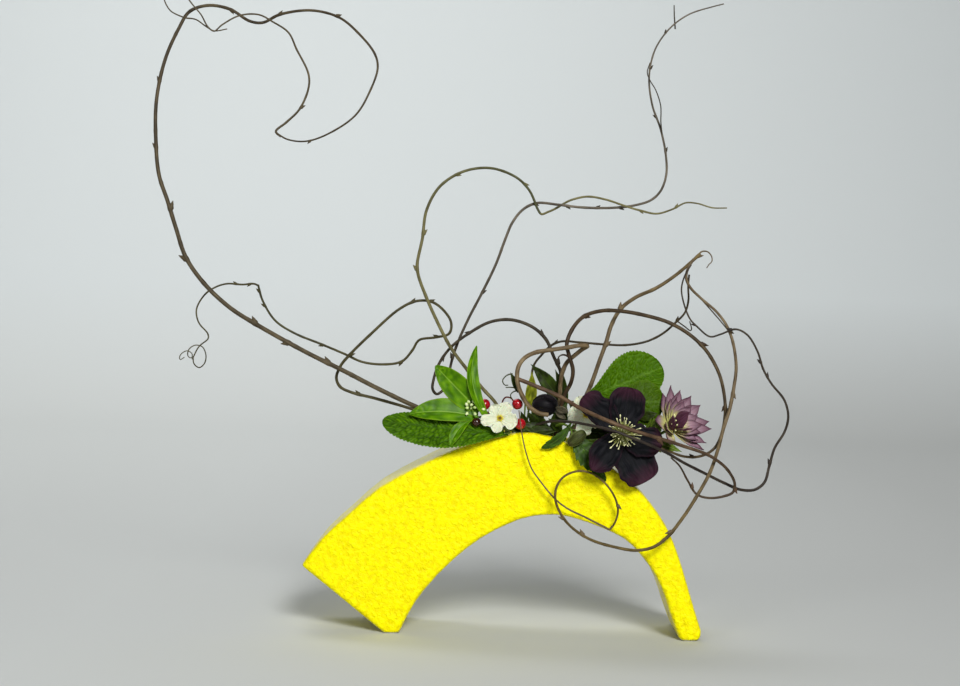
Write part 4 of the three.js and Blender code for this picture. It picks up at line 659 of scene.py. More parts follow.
        "bark": ("#1a1513", "#2f2823", "#453c33"),
        "young": (("#1f1a13", "#383026", "#544a39"), 0.18, 0.4),
        "strands": (
            {"radius": [(0, 1.1), (0.35, 1.1), (0.5, 1.2), (0.75, 0.85), (1, 0.6)],
             "route": [(20, 104, -16), (20, 128, -16), (21, 149, -17), (26.2, 156.5, -24),
              (37.4, 160.8, -33), (54.4, 161, -45), (72.6, 158.3, -55), (88.5, 154.9, -61),
              (104.6, 149.1, -61), (118, 144, -57), (129.5, 139, -49), (143, 131.7, -39),
              (158.6, 124.3, -27), (175, 116.7, -18), (187.6, 112, -13), (198.3, 112.4, -10),
              (205.6, 118.3, -7), (209, 131.5, -5), (212.6, 145, -4), (219.8, 157.7, -3), (222.3, 169.3, -3),
              (219, 182, -3), (208.3, 195, -3), (201.7, 206, -3), (196.9, 219.5, -4), (188.5, 232, -5),
              (179.5, 235.9, -6), (168, 231.7, -5), (160, 229.7, -3), (150, 237, 0), (144.5, 242.5, 2),
              (140.2, 251.5, 3), (137, 264, 2.5), (137.8, 272, 1.5), (140.5, 279, 1.5), (143.8, 284.5, 3)],
             "buds": [(209.5, 133, 1, 1.1), (200, 211, 1, 1.1), (205, 200, -1), (176, 235.5, -1, 1.1),
              (148, 238.5, 1, 0.9)]},
        ),
    },
    "knottedVine": {
        "nodes": ("knotted_vine",), "slot": "tan_bark", "gloss": 0.5,
        "bark": ("#40331f", "#6b5a40", "#93805e"),
        "strands": (
            {"radius": [(0, 1.75), (1, 1.7)],
             "route": [(44, 104, -3.5), (44, 128, -3.5), (44.5, 152, -4), (45.8, 178, -6), (45.8, 190, -8),
              (47.4, 200, -11), (50.5, 207, -14), (56.8, 213, -18), (62, 217.4, -21.5), (65.2, 219.6, -24)]},
            {"radius": [(0, 1.7), (1, 1.75)],
             "route": [(62, 217.4, -21.5), (66, 220, -24.8), (60, 220.2, -27), (50, 218.3, -29.5),
              (36.4, 216, -31), (25, 213.6, -32), (17, 208.8, -33.5), (12.8, 201.5, -36), (12.8, 190.5, -38),
              (17.3, 179, -38.5), (22.8, 171.6, -38.5), (29.5, 167.3, -38), (37, 166, -37)]},
        ),
    },
    "knotSideShoot": {
        "nodes": (), "slot": "tan_bark", "gloss": 0.5,
        "bark": ("#32241a", "#584331", "#7a634a"),
        "young": (("#2a1f18", "#46382a", "#63523e"), 0.1, 0.2),
        "strands": (
            {"radius": [(0, 1.6), (0.35, 1.5), (0.7, 1.15), (1, 0.65)],
             "route": [(13.2, 193, -37.6), (20, 190.6, -38.4), (30.2, 186.6, -39.5), (44.8, 180.8, -42),
              (63, 171.2, -50), (87.3, 161.1, -63), (104.4, 155.3, -63), (124.7, 149.7, -57),
              (141.8, 144.7, -50), (159, 139.3, -41), (167.6, 134.8, -35), (176.5, 127.5, -30),
              (182.6, 117, -26), (181.6, 110, -25), (174.5, 106.6, -24.5), (163, 105, -24),
              (153.6, 107.6, -24), (146.3, 118, -25), (139.8, 129, -28), (133, 135.3, -33)],
             "buds": [(122, 147, -1, 1.6), (150, 113, -1, 1.2), (182.5, 113, 1, 1.2)]},
        ),
    },
    "thinBridgingVine": {
        "nodes": ("thin_bridging_vine",), "slot": "dark_bark", "gloss": 0.6,
        "bark": ("#1f1a10", "#382f1e", "#52472d"),
        "strands": (
            {"radius": [(0, 0.95), (0.8, 0.9), (1, 0.75)],
             "route": [(28, 104, 16), (28, 128, 16), (26, 156, 16), (24, 182, 16), (24.6, 203, 16),
              (31, 212.5, 16), (38, 219.7, 16), (46, 223, 16), (60, 222.6, 17), (78, 221.6, 18),
              (95.6, 221.5, 18), (111.6, 224.8, 17), (123.8, 231.3, 16), (133.3, 240, 15),
              (140, 247.5, 14.5), (142.5, 257, 14), (142, 268, 14), (142.5, 277, 14.5)],
             "buds": [(134, 241.5, 1, 1.1), (41, 222.3, 1, 0.9)]},
            {"radius": [(0, 0.55), (1, 0.45)],
             "route": [(134.4, 241, 14.8), (140.5, 236.8, 13.5), (145, 233.8, 13), (145.6, 235.5, 12.6),
              (144, 241, 11)]},
        ),
    },
}


def buildVines():
    for name, vine in vines.items():
        bark = vineBark(name + "Bark", vine["bark"], vine["gloss"], vine.get("young", (vine["bark"], 0, 1)))
        growStems(name, vine["strands"], seen, bark, vine["slot"], *vine["nodes"])


buildVines()
print("vines grown")


# Leaves and petals. Half widths at even stations from root to tip, then how blunt the tip is.
shapes = {
    "primula": ((0.08, 0.42, 0.8, 1, 1, 0.9, 0.74), 9),
    "spoon": ((0.15, 0.3, 0.6, 0.88, 1, 0.97, 0.85), 7),
    "broad": ((0.14, 0.42, 0.75, 0.96, 1, 0.88, 0.66), 7),
    "evergreen": ((0.5, 0.76, 0.94, 1, 0.95, 0.8, 0.5), 5),
    "lance": ((0.3, 0.72, 0.95, 1, 0.85, 0.55, 0.15), 3),
    "primrose": ((0.42, 0.6, 0.78, 0.94, 1, 0.96, 0.85), 7),
    "sepal": ((0.35, 0.72, 0.94, 1, 0.98, 0.88, 0.7), 9),
    "square": ((0.35, 0.7, 0.9, 1, 1, 0.96, 0.88), 16),
    "pointed": ((0.35, 0.6, 0.85, 1, 0.93, 0.66, 0.14), 4),
}
sheetMarks = ("along", "across", "upper", "tint", "rise")


def profile(widths, u):  # a smooth curve through the stations
    last = len(widths) - 1
    k = min(int(u * last), last - 1)
    t = u * last - k
    a, b, c, d = (widths[min(max(k + n, 0), last)] for n in (-1, 0, 1, 2))
    return b + 0.5 * t * (c - a + t * (2 * a - 5 * b + 4 * c - d + t * (3 * (b - c) + d - a)))


def newSheet():
    return {key: [] for key in ("points", "faces", *sheetMarks)}


def addPoint(sheet, point, *marks):
    sheet["points"].append(point)
    for key, value in zip(sheetMarks, marks):
        sheet[key].append(value)


# A thin blade from root to tip, two faces that meet in a thin edge. facing is the way its upper face
# looks, width is in millimetres or (left, right), cup lifts its sides, sway bends it sideways, edge and
# ragged shape its margin, and relief(u, v, half) gives a height in millimetres and a tone that a leaf's
# finish turns into painted shade in the hollows and painted light on the swellings.
def addBlade(sheet, root, tip, facing, width, shape, rows=30, columns=12, arch=0, cup=0, sway=0, notch=0,
             edge=None, ragged=0, relief=None, thickness=0.7, tint=0.5):
    ahead = tip - root
    length = ahead.length / mm
    ahead.normalize()
    up = (facing - ahead * facing.dot(ahead)).normalized()
    aside = ahead.cross(up)
    widths, blunt = shapes[shape]
    left, right = width if isinstance(width, tuple) else (width / 2, width / 2)

    def middle(u, v):
        share = max(0.02, profile(widths, u) * (1 - min(u, 1) ** blunt) ** 0.5)
        half = (right if v > 0 else left) * share
        if ragged:
            half *= 1 + ragged * noise.noise(Vector((5 * u, math.copysign(2, v), 31 * tint)))
        if edge:
            half *= 1 + edge(u) * abs(v) ** 3
        reach = length * u * (1 - notch * (1 - abs(v)) ** 1.4 * u ** 6)
        height, tone = relief(u, v, half) if relief else (0, 0.5)
        lift = arch * length * 4 * u * (1 - u) + cup * half * v * v + height
        return root + (ahead * reach + aside * (v * half + sway * 4 * u * (1 - u)) + up * lift) * mm, tone

    start = len(sheet["points"])
    grid = []
    for i in range(rows + 1):
        u = 1 - (1 - i / rows) ** 1.35
        stations = [(2 * j / columns - 1) for j in range(columns + 1)]
        grid.append([(u, math.copysign(abs(v) ** 0.85, v)) for v in stations])
    spots = [[middle(u, v) for u, v in row] for row in grid]
    for upper in (1, 0):
        for i, row in enumerate(grid):
            for j, (u, v) in enumerate(row):
                run = spots[min(i + 1, rows)][j][0] - spots[max(i - 1, 0)][j][0]
                cross = spots[i][min(j + 1, columns)][0] - spots[i][max(j - 1, 0)][0]
                normal = cross.cross(run)
                normal = normal.normalized() if normal.length > 1e-12 else up
                slim = 0.2 + 0.8 * (1 - abs(v) ** 6) * (1 - u ** 10)
                side = (1 if upper else -1) * thickness / 2 * slim * mm
                point, tone = spots[i][j]
                addPoint(sheet, point + normal * side, u, v, upper, tint, tone)
    stride = columns + 1
    under = start + (rows + 1) * stride
    for i in range(rows):
        for a in range(i * stride, i * stride + columns):
            b, c, d = a + 1, a + stride, a + stride + 1
            sheet["faces"].append((start + a, start + b, start + d, start + c))
            sheet["faces"].append((under + a, under + c, under + d, under + b))
    rim = list(range(columns)) + [i * stride + columns for i in range(rows)]
    rim += [rows * stride + j for j in range(columns, 0, -1)] + [i * stride for i in range(rows, 0, -1)]
    for a, b in zip(rim, rim[1:] + rim[:1]):
        sheet["faces"].append((start + a, under + a, under + b, start + b))


def addBall(sheet, centre, radii, rings=14, segments=20, turn=Matrix.Identity(3), shape=None, tint=0.5):
    start = len(sheet["points"])
    for i in range(rings + 1):
        down = math.pi * i / rings
        for j in range(1 if i in (0, rings) else segments):
            around = 2 * math.pi * j / segments
            grow = shape(down, around) if shape else 1
            spot = Vector((radii[0] * math.sin(down) * math.cos(around),
                           radii[1] * math.sin(down) * math.sin(around), radii[2] * math.cos(down)))
            addPoint(sheet, centre + turn @ spot * grow * mm, i / rings, math.cos(around), 1, tint, 0.5)
    first, last = start + 1, len(sheet["points"]) - 1
    for j in range(segments):
        k = (j + 1) % segments
        sheet["faces"] += [(start, first + j, first + k), (last, last - segments + k, last - segments + j)]
        for i in range(rings - 2):
            a, b = first + i * segments + j, first + i * segments + k
            sheet["faces"].append((a, a + segments, b + segments, b))


def laySheet(name, sheet, finish, slot, *nodes):
    piece = useMesh(name, sheet["points"], sheet["faces"], finish, {key: sheet[key] for key in sheetMarks})
    settle(piece, slot, *nodes)


def layBall(name, centre, radii, rings, segments, turn, shape, finish, slot, *nodes):
    sheet = newSheet()
    addBall(sheet, centre, radii, rings, segments, turn, shape)
    laySheet(name, sheet, finish, slot, *nodes)


# Each blade is its root, tip, facing and width, and a look of its own where it has one.
def layBlades(name, blades, finish, slot, *nodes, **look):
    sheet = newSheet()
    for root, tip, facing, width, *own in blades:
        addBlade(sheet, seenInFront(root), seenInFront(tip), direction(*facing), width,
                 **look, **(own[0] if own else {}))
    laySheet(name, sheet, finish, slot, *nodes)


def direction(x, y, z):
    return Vector((x, y, z)).normalized()


def turnTo(way):  # a turn that takes +Z to this way
    return way.to_track_quat("Z", "Y").to_matrix()


def puckered(length, cell, bulge, ribs, slant):  # a primula leaf's blisters between a net of sunken veins; its tone paints shade in the veins and light on the blister crests
    def relief(u, v, half):
        phase = u * ribs - abs(v) * slant
        gap = abs(phase - round(phase))
        spot = Vector((length * u - slant * abs(v) * length / ribs, v * half * 0.7, 0)) / cell
        near, second = noise.voronoi(spot)[0][:2]
        blister = min(1, (second - near) / 0.55) ** 0.7
        rib = min(1, gap / 0.12) * min(1, abs(v) * half / 1.3)
        # tone: painted shade in the sunken veins, painted light on the blister crests
        tone = blister * (0.35 + 0.65 * rib)
        return bulge * tone * min(1, 12 * u), tone
    return relief


def smoothFace(rib):  # a leathery leaf: the midrib is sunk and the face swells gently beside it, its tone lighter on the swells as painted light
    def relief(u, v, half):
        swell = noise.noise(Vector((5 * u, 3 * v, half)))
        return 0.3 * swell - rib * math.exp(-(v * half / 0.7) ** 2), 0.5 + 0.5 * swell
    return relief


def wavy(amount, seed, rib=0.12):  # a petal's loose waves, and the shallow furrow down its middle
    def relief(u, v, half):
        wave = noise.noise(Vector((2.2 * u, 1.4 * v, seed))) * abs(v) ** 1.2 * u
        ripple = 0.35 * noise.noise(Vector((6 * u, 4 * v, seed + 9))) * abs(v)
        return 2 * amount * (wave + ripple) - rib * math.exp(-(v * half / 1.1) ** 2), 0.5 + ripple
    return relief


def scallops(count, depth):
    return lambda u: depth * (abs(math.sin(math.pi * count * u)) - 0.6)


def sawTeeth(count, depth):
    return lambda u: depth * ((count * u) % 1 - 0.5) * min(1, 8 * (1 - u))


# Each coat is laid over the last one: its tone, what it follows, where it starts and is full, its strength.
def layTones(tree, colour, *coats):
    for code, amount, low, high, top in coats:
        share = addNode(tree, "ShaderNodeMapRange", {
            "Value": amount, "From Min": low, "From Max": high, "To Max": top})
        colour = addNode(tree, "ShaderNodeMix", {"Factor": share, "A": colour, "B": linear(code)},
                         data_type="RGBA")
    return colour


def leafTissue(name, tones, rib, edge, under, ribs=(7, 2.2), ribShow=0.5, midrib=0.85, gloss=0.45,
               shine=0.25):
    # A living leaf: a thin wax film over yellow-green flesh, paler ribs and edge, a matt paler underside; its
    # tones follow the relief, painted shade in the hollows and painted light on the swellings
    finish, tree, place, along, across, upper, rise = startFinish(name, {
        "IOR": 1.42, "Roughness": gloss, "Specular IOR Level": shine, "Subsurface Weight": 0.05,
        "Subsurface Scale": 0.001}, "place", "along", "across", "upper", "rise")
    away = addNode(tree, "ShaderNodeMath", {0: across}, operation="ABSOLUTE")
    patches = addNode(tree, "ShaderNodeTexNoise", {
        "Vector": place, "Scale": 150.0, "Detail": 4.0, "Roughness": 0.6})
    # the relief's tone, painted shade and painted light, mixed with random patches
    mixed = addNode(tree, "ShaderNodeMix", {"Factor": 0.35, "A": rise, "B": patches}, data_type="FLOAT")
    colour = addNode(tree, "ShaderNodeValToRGB", {0: mixed}, stops=tones)
    count, slant = ribs
    phase = addNode(tree, "ShaderNodeMath", {0: along, 1: float(count)}, operation="MULTIPLY")
    lean = addNode(tree, "ShaderNodeMath", {0: away, 1: float(slant)}, operation="MULTIPLY")
    phase = addNode(tree, "ShaderNodeMath", {0: phase, 1: lean}, operation="SUBTRACT")
    gap = addNode(tree, "ShaderNodeMath", {0: phase, 1: 0.5}, operation="PINGPONG")
    colour = layTones(tree, colour, (rib, gap, 0.06, 0.02, ribShow), (rib, away, 0.075, 0.03, midrib),
                      (edge, away, 0.86, 1.0, 0.7), (under, upper, 1.0, 0.0, 0.8))
    return endFinish(finish, colour, patches, 0.25)


def stalkTissue(name, tones, gloss=0.5):
    # A soft young stalk: smooth skin, faintly streaked along its length
    finish, tree, place = startFinish(
        name, {"IOR": 1.42, "Roughness": gloss, "Specular IOR Level": 0.3}, "barkPlace")
    long = addNode(tree, "ShaderNodeVectorMath", {0: place, 1: (1.5, 1.5, 0.12)}, operation="MULTIPLY")
    streaks = addNode(tree, "ShaderNodeTexNoise", {"Vector": long, "Scale": 1.6, "Detail": 2.0})
    colour = addNode(tree, "ShaderNodeValToRGB", {0: streaks}, stops=zip((0.35, 0.5, 0.68), tones))
    return endFinish(finish, colour, streaks, 0.15)


def tapered(radius, route):
    return {"radius": [(0, radius), (1, radius * 0.8)], "route": route}


def growStalk(name, foot, route, radius, finish, slot, *nodes, end=()):  # end: points already in place
    x, y = foot
    spots = [seenInFront(spot) for spot in [*((x, z, y) for z in stemDetail["stalkRise"]), *route]]
    growStems(name, [tapered(radius, [*spots, *end])], Vector, finish, slot, *nodes,
              knuckled=False, **stemDetail["stalk"])


def growThreads(name, routes, radius, finish, slot):
    growStems(name, [tapered(radius, route) for route in routes], seenInFront, finish, slot,
              knuckled=False, **stemDetail["thread"])


greenStalk = stalkTissue("greenStalk", ("#3c5210", "#5a7420", "#7c9440"))
primulaStalk = stalkTissue("primulaStalk", ("#4c641a", "#74903a", "#9db060"))
twigBark = stalkTissue("twigBark", ("#2a0f0a", "#561c16", "#7c3020"), 0.45)

primulaLeaves = {  # tones run from the sunken veins to the blisters, painted shade in the hollows and painted light on the crests; stalk is its route from its foot
    "primulaLeafLeft": {
        "node": "primula_leaf_left", "slot": "deep_primula_green",
        "blade": ((6, 153.6, -37.5), (-88.8, 160.5, -36), (0, -0.82, 0.57), (17.4, 12.2)),
        "look": {"shape": "primula", "rows": 190, "columns": 72, "cup": 0.08, "sway": -1.2},
        "ribs": (9, 1.3), "cell": 2.5, "bulge": 1.05, "scallops": (34, 0.06), "foot": (0, -18.5),
        "stalk": [(1.5, 155, -19.5), (2, 157.3, -26), (4.5, 156.8, -34), (7, 154.6, -37.2),
                  (3, 153.8, -37.4)],
        "tissue": ("puckeredLeafDeep", (
            (0.2, "#233f00"), (0.45, "#3c6200"), (0.7, "#4b7200"), (0.9, "#5c8606")),
            "#5e8a20", "#557c10", "#5f7f2a", (7, 2.2), 0, 0.15),
    },
    "primulaLeafUpright": {
        "node": "primula_leaf_upright", "slot": "primula_green",
        "blade": ((63, 181, -3), (120.5, 206.5, 2), (-0.1, -0.95, 0.18), (21.5, 19)),
        "look": {"shape": "spoon", "rows": 130, "columns": 72, "cup": 0.13, "arch": 0.03},
        "ribs": (8, 1.6), "cell": 2.9, "bulge": 1.25, "scallops": (26, 0.05), "foot": (57, 3),
        "stalk": [(60, 158, 1), (62, 170, -1), (63, 178.5, -3), (71, 184, -2.6)],
        "tissue": ("puckeredLeafVivid", (
            (0.1, "#5f8720"), (0.28, "#456b02"), (0.55, "#3a5d00"), (0.85, "#4a7004")),
            "#6a8e2c", "#55790e", "#64832c", (8, 1.6), 0.03, 0.22),
    },
    "primulaLeafFolding": {
        "node": "primula_leaf_folding", "slot": "primula_green",
        "blade": ((79, 181, -13.5), (122.5, 180, -19), (0.1, -0.95, 0.2), (17, 19)),
        "look": {"shape": "spoon", "rows": 100, "columns": 60, "cup": -0.12, "arch": 0.1},
        "ribs": (7, 1.5), "cell": 2.4, "bulge": 0.8, "scallops": (22, 0.05), "foot": (56, -12),
        "stalk": [(61, 156, -12.5), (70, 168, -13.5), (77, 179.5, -13.4), (86, 181.6, -13.3)],
        "tissue": ("puckeredLeafFolded", (
            (0.1, "#587822"), (0.28, "#405e06"), (0.6, "#365002"), (0.85, "#3f5e04")),
            "#62822c", "#4e6e10", "#64832c", (7, 1.5), 0.03, 0.22),
    },
}


def buildPrimulaLeaves():
    for name, leaf in primulaLeaves.items():
        root, tip = (seenInFront(end) for end in leaf["blade"][:2])
        relief = puckered((tip - root).length / mm, leaf["cell"], leaf["bulge"], *leaf["ribs"])
        layBlades(name, [leaf["blade"]], leafTissue(*leaf["tissue"], shine=0.08), leaf["slot"], leaf["node"],
                  edge=scallops(*leaf["scallops"]), relief=relief, **leaf["look"])
        growStalk(name + "Stalk", leaf["foot"], leaf["stalk"], 1.4, primulaStalk, leaf["slot"])


evergreenSprig = {
    "leaves": (
        ((-16, 170, -34), (-50, 203.4, -31), (-0.25, -0.95, 0.15), (9.8, 10.6),
         {"shape": "evergreen", "cup": 0.16, "tint": 0.2}),
        ((-17, 165.5, -35), (-68.6, 166.6, -38), (0, -0.92, 0.4), (7.8, 10.4),
         {"shape": "evergreen", "sway": 2.4, "cup": 0.16, "tint": 0.4}),
        ((-11, 165.7, -38.5), (-19.4, 219.3, -26), (0.3, -0.95, 0), (4.6, 5),
         {"shape": "evergreen", "sway": -7.6, "cup": 0.3, "tint": 0.6}),
        ((-20.4, 164.6, -36.5), (-37.4, 143.6, -47), (-0.2, -0.9, 0.3), (4.4, 4.6),
         {"shape": "broad", "sway": 2.8, "cup": 0.2, "tint": 0.8}),
    ),
    "twig": [(-3, 158, -12), (-4.5, 168, -17), (-9, 169.5, -27), (-13, 166, -33), (-20.5, 165.4, -34.5)],
    "heart": (-22.3, 172.2, -36.4),
    "beads": ((-24.4, 176.8, -37), (-20.6, 177.5, -36.5), (-25.8, 175, -37.5), (-25.3, 172.3, -38.2),
              (-19.6, 172.8, -38.5), (-25.4, 168, -38.5), (-19.3, 168, -40), (-13.1, 171.6, -38.8),
              (-22.2, 174.6, -40)),
}


def buildEvergreenSprig():
    glossy = leafTissue("leatheryLeaf", (
        (0.25, "#335a00"), (0.45, "#426e00"), (0.6, "#558202"), (0.8, "#6f9a0a")),
        "#86aa3c", "#769a12", "#6f9434", (9, 1.5), 0.05, 0.6, gloss=0.38, shine=0.12)
    layBlades("evergreenSprigLeaves", evergreenSprig["leaves"], glossy, "glossy_green", "evergreen_sprig",
              rows=70, columns=24, arch=0.04, relief=smoothFace(0.3))
    growStalk("evergreenSprigTwig", (-2, -9), evergreenSprig["twig"], 1.2, greenStalk, "glossy_green")

    # Pale wax over green
    waxy, tree, place = startFinish("waxyBudSkin", {"IOR": 1.45, "Roughness": 0.4}, "place")
    speckle = addNode(tree, "ShaderNodeTexNoise", {"Vector": place, "Scale": 500.0})
    endFinish(waxy, addNode(tree, "ShaderNodeValToRGB", {0: speckle}, stops=(
        (0.35, "#a5c460"), (0.5, "#d3e29c"), (0.7, "#f1f5d4"))))
    heart = evergreenSprig["heart"]
    middle = seenInFront(heart)
    beads = newSheet()
    addBall(beads, middle, (1.1, 1.1, 1.1), 8, 10)
    for place in evergreenSprig["beads"]:
        outward = turnTo((seenInFront(place) - middle).normalized())
        addBall(beads, seenInFront(place), (1.15, 1.15, 1.5), 10, 12, outward,
                lambda down, turn: 1 + 0.1 * math.cos(5 * turn) * math.sin(down))
    laySheet("evergreenBuds", beads, waxy, "bud_white", "evergreen_sprig_buds")
    threads = [[heart, tuple((a + b) / 2 for a, b in zip(heart, bead)), bead]
               for bead in evergreenSprig["beads"]]
    growThreads("evergreenBudStalks", threads, 0.38, greenStalk, "stem_green")


narrowLeaves = (  # name, node, slot, blades, foot, stalk, radius
    ("limeLeaf", "lime_leaf", "lime_leaf",
     [((21, 172, -8), (22.6, 201, -10), (0.2, -0.97, 0.1), 9.4, {"sway": 0.6})],
     (19, -3), [(18.8, 156, -4), (20, 165, -5.6), (21, 172, -8)], 0.9),
    ("darkPointedLeaf", "dark_pointed_leaf", "dark_leaf",
     [((44, 179, -0.5), (21.5, 206.5, -2.5), (0, -1, 0.1), 12, {"sway": 1.5}),
      ((46, 180, -1), (40, 203, -1.5), (0.3, -1, 0), 6.5, {"sway": 1})],
     (37, 1), [(38, 160, 1), (41.5, 172, 0.5), (44, 179, -0.3)], 0.9),
    ("darkUprightLeaf", "dark_upright_leaf", "dark_leaf",
     [((46, 168, 12), (43.5, 206, 13), (0, -1, 0), 9.5, {"sway": 1})],
     (43.5, 12.5), [(44, 160, 12.5), (46, 168, 12.4)], 0.9),
    ("smallLeaf", "small_leaf_with_threads", "dark_leaf",
     [((12.8, 185, -31), (6.3, 199.8, -31), (0.1, -1, 0.1), 5.5, {"sway": 0.6})],
     (16, -8), [(17, 158, -12), (18, 170, -18), (17.6, 181, -22.5), (14.2, 185.5, -29.5), (12.8, 185.6, -31)],
     0.75),
)
smallLeafThreads = (
    [(8, 199, -31), (3.6, 197.4, -32), (0.7, 193.5, -33), (2.4, 190.2, -33), (5, 190.2, -33)],
    [(12.6, 187.6, -31), (7.6, 188.6, -32.5), (3.2, 188.4, -33.2)],
    [(12.6, 186, -31), (9.5, 185.6, -32.5), (6.9, 182.8, -33.5), (8, 180.1, -33.5)],
)


def buildNarrowLeaves():
    finishes = {
        "lime_leaf": leafTissue("limeLeafSkin", ((0.3, "#4a5006"), (0.5, "#727810"), (0.7, "#8f9622")),
                                "#8f9634", "#8c8a24", "#8b9434", (12, 3), 0.08, 0.4),
        "dark_leaf": leafTissue("darkLeafSkin", ((0.3, "#181f00"), (0.5, "#263204"), (0.75, "#364a0a")),
                                "#40561c", "#3c5612", "#4a6220", (10, 2.4), 0.15, 0.4, shine=0.2),
    }
    for name, node, slot, blades, foot, route, radius in narrowLeaves:
        layBlades(name, blades, finishes[slot], slot, node, shape="lance", rows=48, cup=0.2,
                  relief=smoothFace(0.25))
        growStalk(name + "Stalk", foot, route, radius, greenStalk, slot)
    wiry = stalkTissue("wiryThread", ("#1d2410", "#343a1e", "#565a34"))
    growThreads("smallLeafThreads", smallLeafThreads, 0.55, wiry, "dark_leaf")
    return finishes["dark_leaf"]


hangingLeaf = {
    "leaflets": (
        ((53.5, 164, -37), (31.4, 143.4, -38.5), (0.1, -0.95, 0.25), 7.5, {"sway": -3.2}),
        ((53, 154, -38.5), (76, 128, -40.5), (0.1, -0.95, 0.25), 19),
        ((56, 150.5, -39.5), (80.2, 119.5, -39.5), (0.1, -0.95, 0.25), 10),
    ),
    "foot": (38.5, -18.3),
    "route": [(39, 156, -19.5), (41, 160, -28), (47, 162, -35), (53, 158.6, -38.2), (54, 152, -39)],
}
fillerLeaves = (  # small dark leaves that show between the flowers, low over the mouth
    ((24, 166, -20), (37, 158, -26), (0, -0.8, 0.6), 9), ((22, 158, -21), (13, 164, -26), (0, -0.9, 0.5), 6),
    ((28, 158, -22), (20, 171, -27), (0.1, -0.95, 0.2), 7),
    ((38, 163, -24), (50, 170, -28), (0, -0.9, 0.4), 9),
    ((46, 157, -26), (36, 166, -31), (0, -0.9, 0.4), 8), ((60, 172, -18), (50, 180, -19), (0, -1, 0.2), 8),
    ((104, 168, -24), (118, 172, -27), (0, -1, 0.2), 8), ((26, 155, -26), (1, 158.5, -29), (0, -0.9, 0.4), 8),
    ((40, 156, -23), (12, 160, -27), (0, -0.9, 0.4), 11), ((16, 154, -26), (47, 158, -28), (0, -0.9, 0.4), 9),
    ((30, 157, -21), (24, 180, -24), (0.1, -1, 0.1), 10), ((20, 156, -23), (15, 171, -27), (0.1, -1, 0.1), 7),
    ((44, 160, -22), (49, 178, -24), (0, -1, 0.1), 10), ((60, 158, -18), (112, 160, -22), (0, -1, 0.1), 9),
    ((58, 150, -22), (86, 152, -24), (0, -1, 0.3), 11),
)


def buildHangingLeaf(dark):
    toothed = leafTissue("toothedLeafSkin", ((0.3, "#1e3400"), (0.5, "#2b4504"), (0.75, "#406006")),
                         "#4c6a18", "#3b5a0a", "#6b8a44", (7, 2.0), 0.3, shine=0.2)
    layBlades("hangingToothedLeaf", hangingLeaf["leaflets"], toothed, "dark_leaf", "hanging_toothed_leaf",
              shape="broad", rows=70, columns=20, cup=0.12, arch=0.04, edge=sawTeeth(6, 0.22),
              relief=smoothFace(0.3))
    growStalk("hangingLeafStalk", hangingLeaf["foot"], hangingLeaf["route"], 1.0, greenStalk, "dark_leaf")
    layBlades("fillerLeaves", fillerLeaves, dark, "dark_leaf", shape="lance", rows=24, columns=10, cup=0.2,
              arch=0.06, relief=smoothFace(0.25))


buildPrimulaLeaves()
buildEvergreenSprig()
buildHangingLeaf(buildNarrowLeaves())
print("leaves laid")


berryTwig = {
    "berries": (  # name, node, place, radius, way the stalk end looks
        ("berryLeft", "berry_left", (-12.2, 175.3, -31.5), 4.3, (1, 0.2, 0.4)),
        ("berryLeftLow", "berry_left_low", (-9.5, 166.3, -32), 3.7, (0.7, 0.8, 0.3)),
        ("berryLeftDark", "berry_left_dark", (-18.1, 161.6, -38), 3.6, (1, 0.1, 0)),
        ("berryRightHigh", "berry_right_high", (12.3, 176.2, -31), 4.2, (-0.4, 0.3, 1)),
        ("berryRightLow", "berry_right_low", (14.6, 161.3, -32), 4.4, (-1, 0.6, 0.5)),
    ),
    "branches": (
        [(6.5, 164, -21), (2.5, 172, -27), (-3.5, 175, -29)],
        [(-3.5, 175, -29), (-6, 170.5, -28), (-6.6, 168, -28.4)],
        [(7.6, 161.4, -19.8), (1, 162.2, -28.5), (-6, 161.2, -35), (-13.8, 160.4, -37.6)],
        [(2.5, 172, -27), (1, 177.4, -30), (3.4, 181, -32), (7.2, 180.6, -32), (9.6, 178, -31)],
        [(7.6, 161.4, -19.8), (9.5, 163.2, -24), (11.6, 163, -27.6)],
        [(-8, 168.5, -37.5), (-12, 169.6, -37), (-15, 168.6, -36)],
    ),
}


def berrySkin(name, tones):
    # Ripe berry skin: tight, wet-looking red, dark where the flower once sat
    finish, tree, place, along = startFinish(name, {
        "IOR": 1.42, "Roughness": 0.2, "Coat Weight": 0.4, "Coat Roughness": 0.06, "Subsurface Weight": 0.1,
        "Subsurface Scale": 0.0015}, "place", "along")
    speckle = addNode(tree, "ShaderNodeTexNoise", {"Vector": place, "Scale": 260.0, "Detail": 3.0})
    colour = addNode(tree, "ShaderNodeValToRGB", {0: speckle}, stops=zip((0.32, 0.5, 0.7), tones))
    return endFinish(finish, layTones(tree, colour, ("#2a0c08", along, 0.9, 0.95, 0.9)))


def dimpled(down, around):  # a berry, hollow at one end and deeper where the flower once sat
    return 1 - 0.1 * math.exp(-(down / 0.3) ** 2) - 0.16 * math.exp(-((math.pi - down) / 0.22) ** 2)


def buildBerries():
    bright = berrySkin("ripeBerrySkin", ("#7c0610", "#a80e1c", "#c81e2c"))
    # a darker copy of the berry skin: painted shade for the berry that sits in shade behind the others
    shaded = berrySkin("dullBerrySkin", ("#1c0a04", "#2c1408", "#44200f"))
    for name, node, place, radius, stemEnd in berryTwig["berries"]:
        wide = radius * 0.98
        layBall(name, seenInFront(place), (wide, wide, radius), 28, 36, turnTo(direction(*stemEnd)), dimpled,
                shaded if name == "berryLeftDark" else bright, "berry_red", node)
    growThreads("berryTwigBranches", berryTwig["branches"], 0.7, twigBark, "twig_red")
    growStalk("berryTwig", (10, -12), [(9.4, 155, -15), (6.5, 164, -21)], 0.9, twigBark, "twig_red",
              "berry_twig")


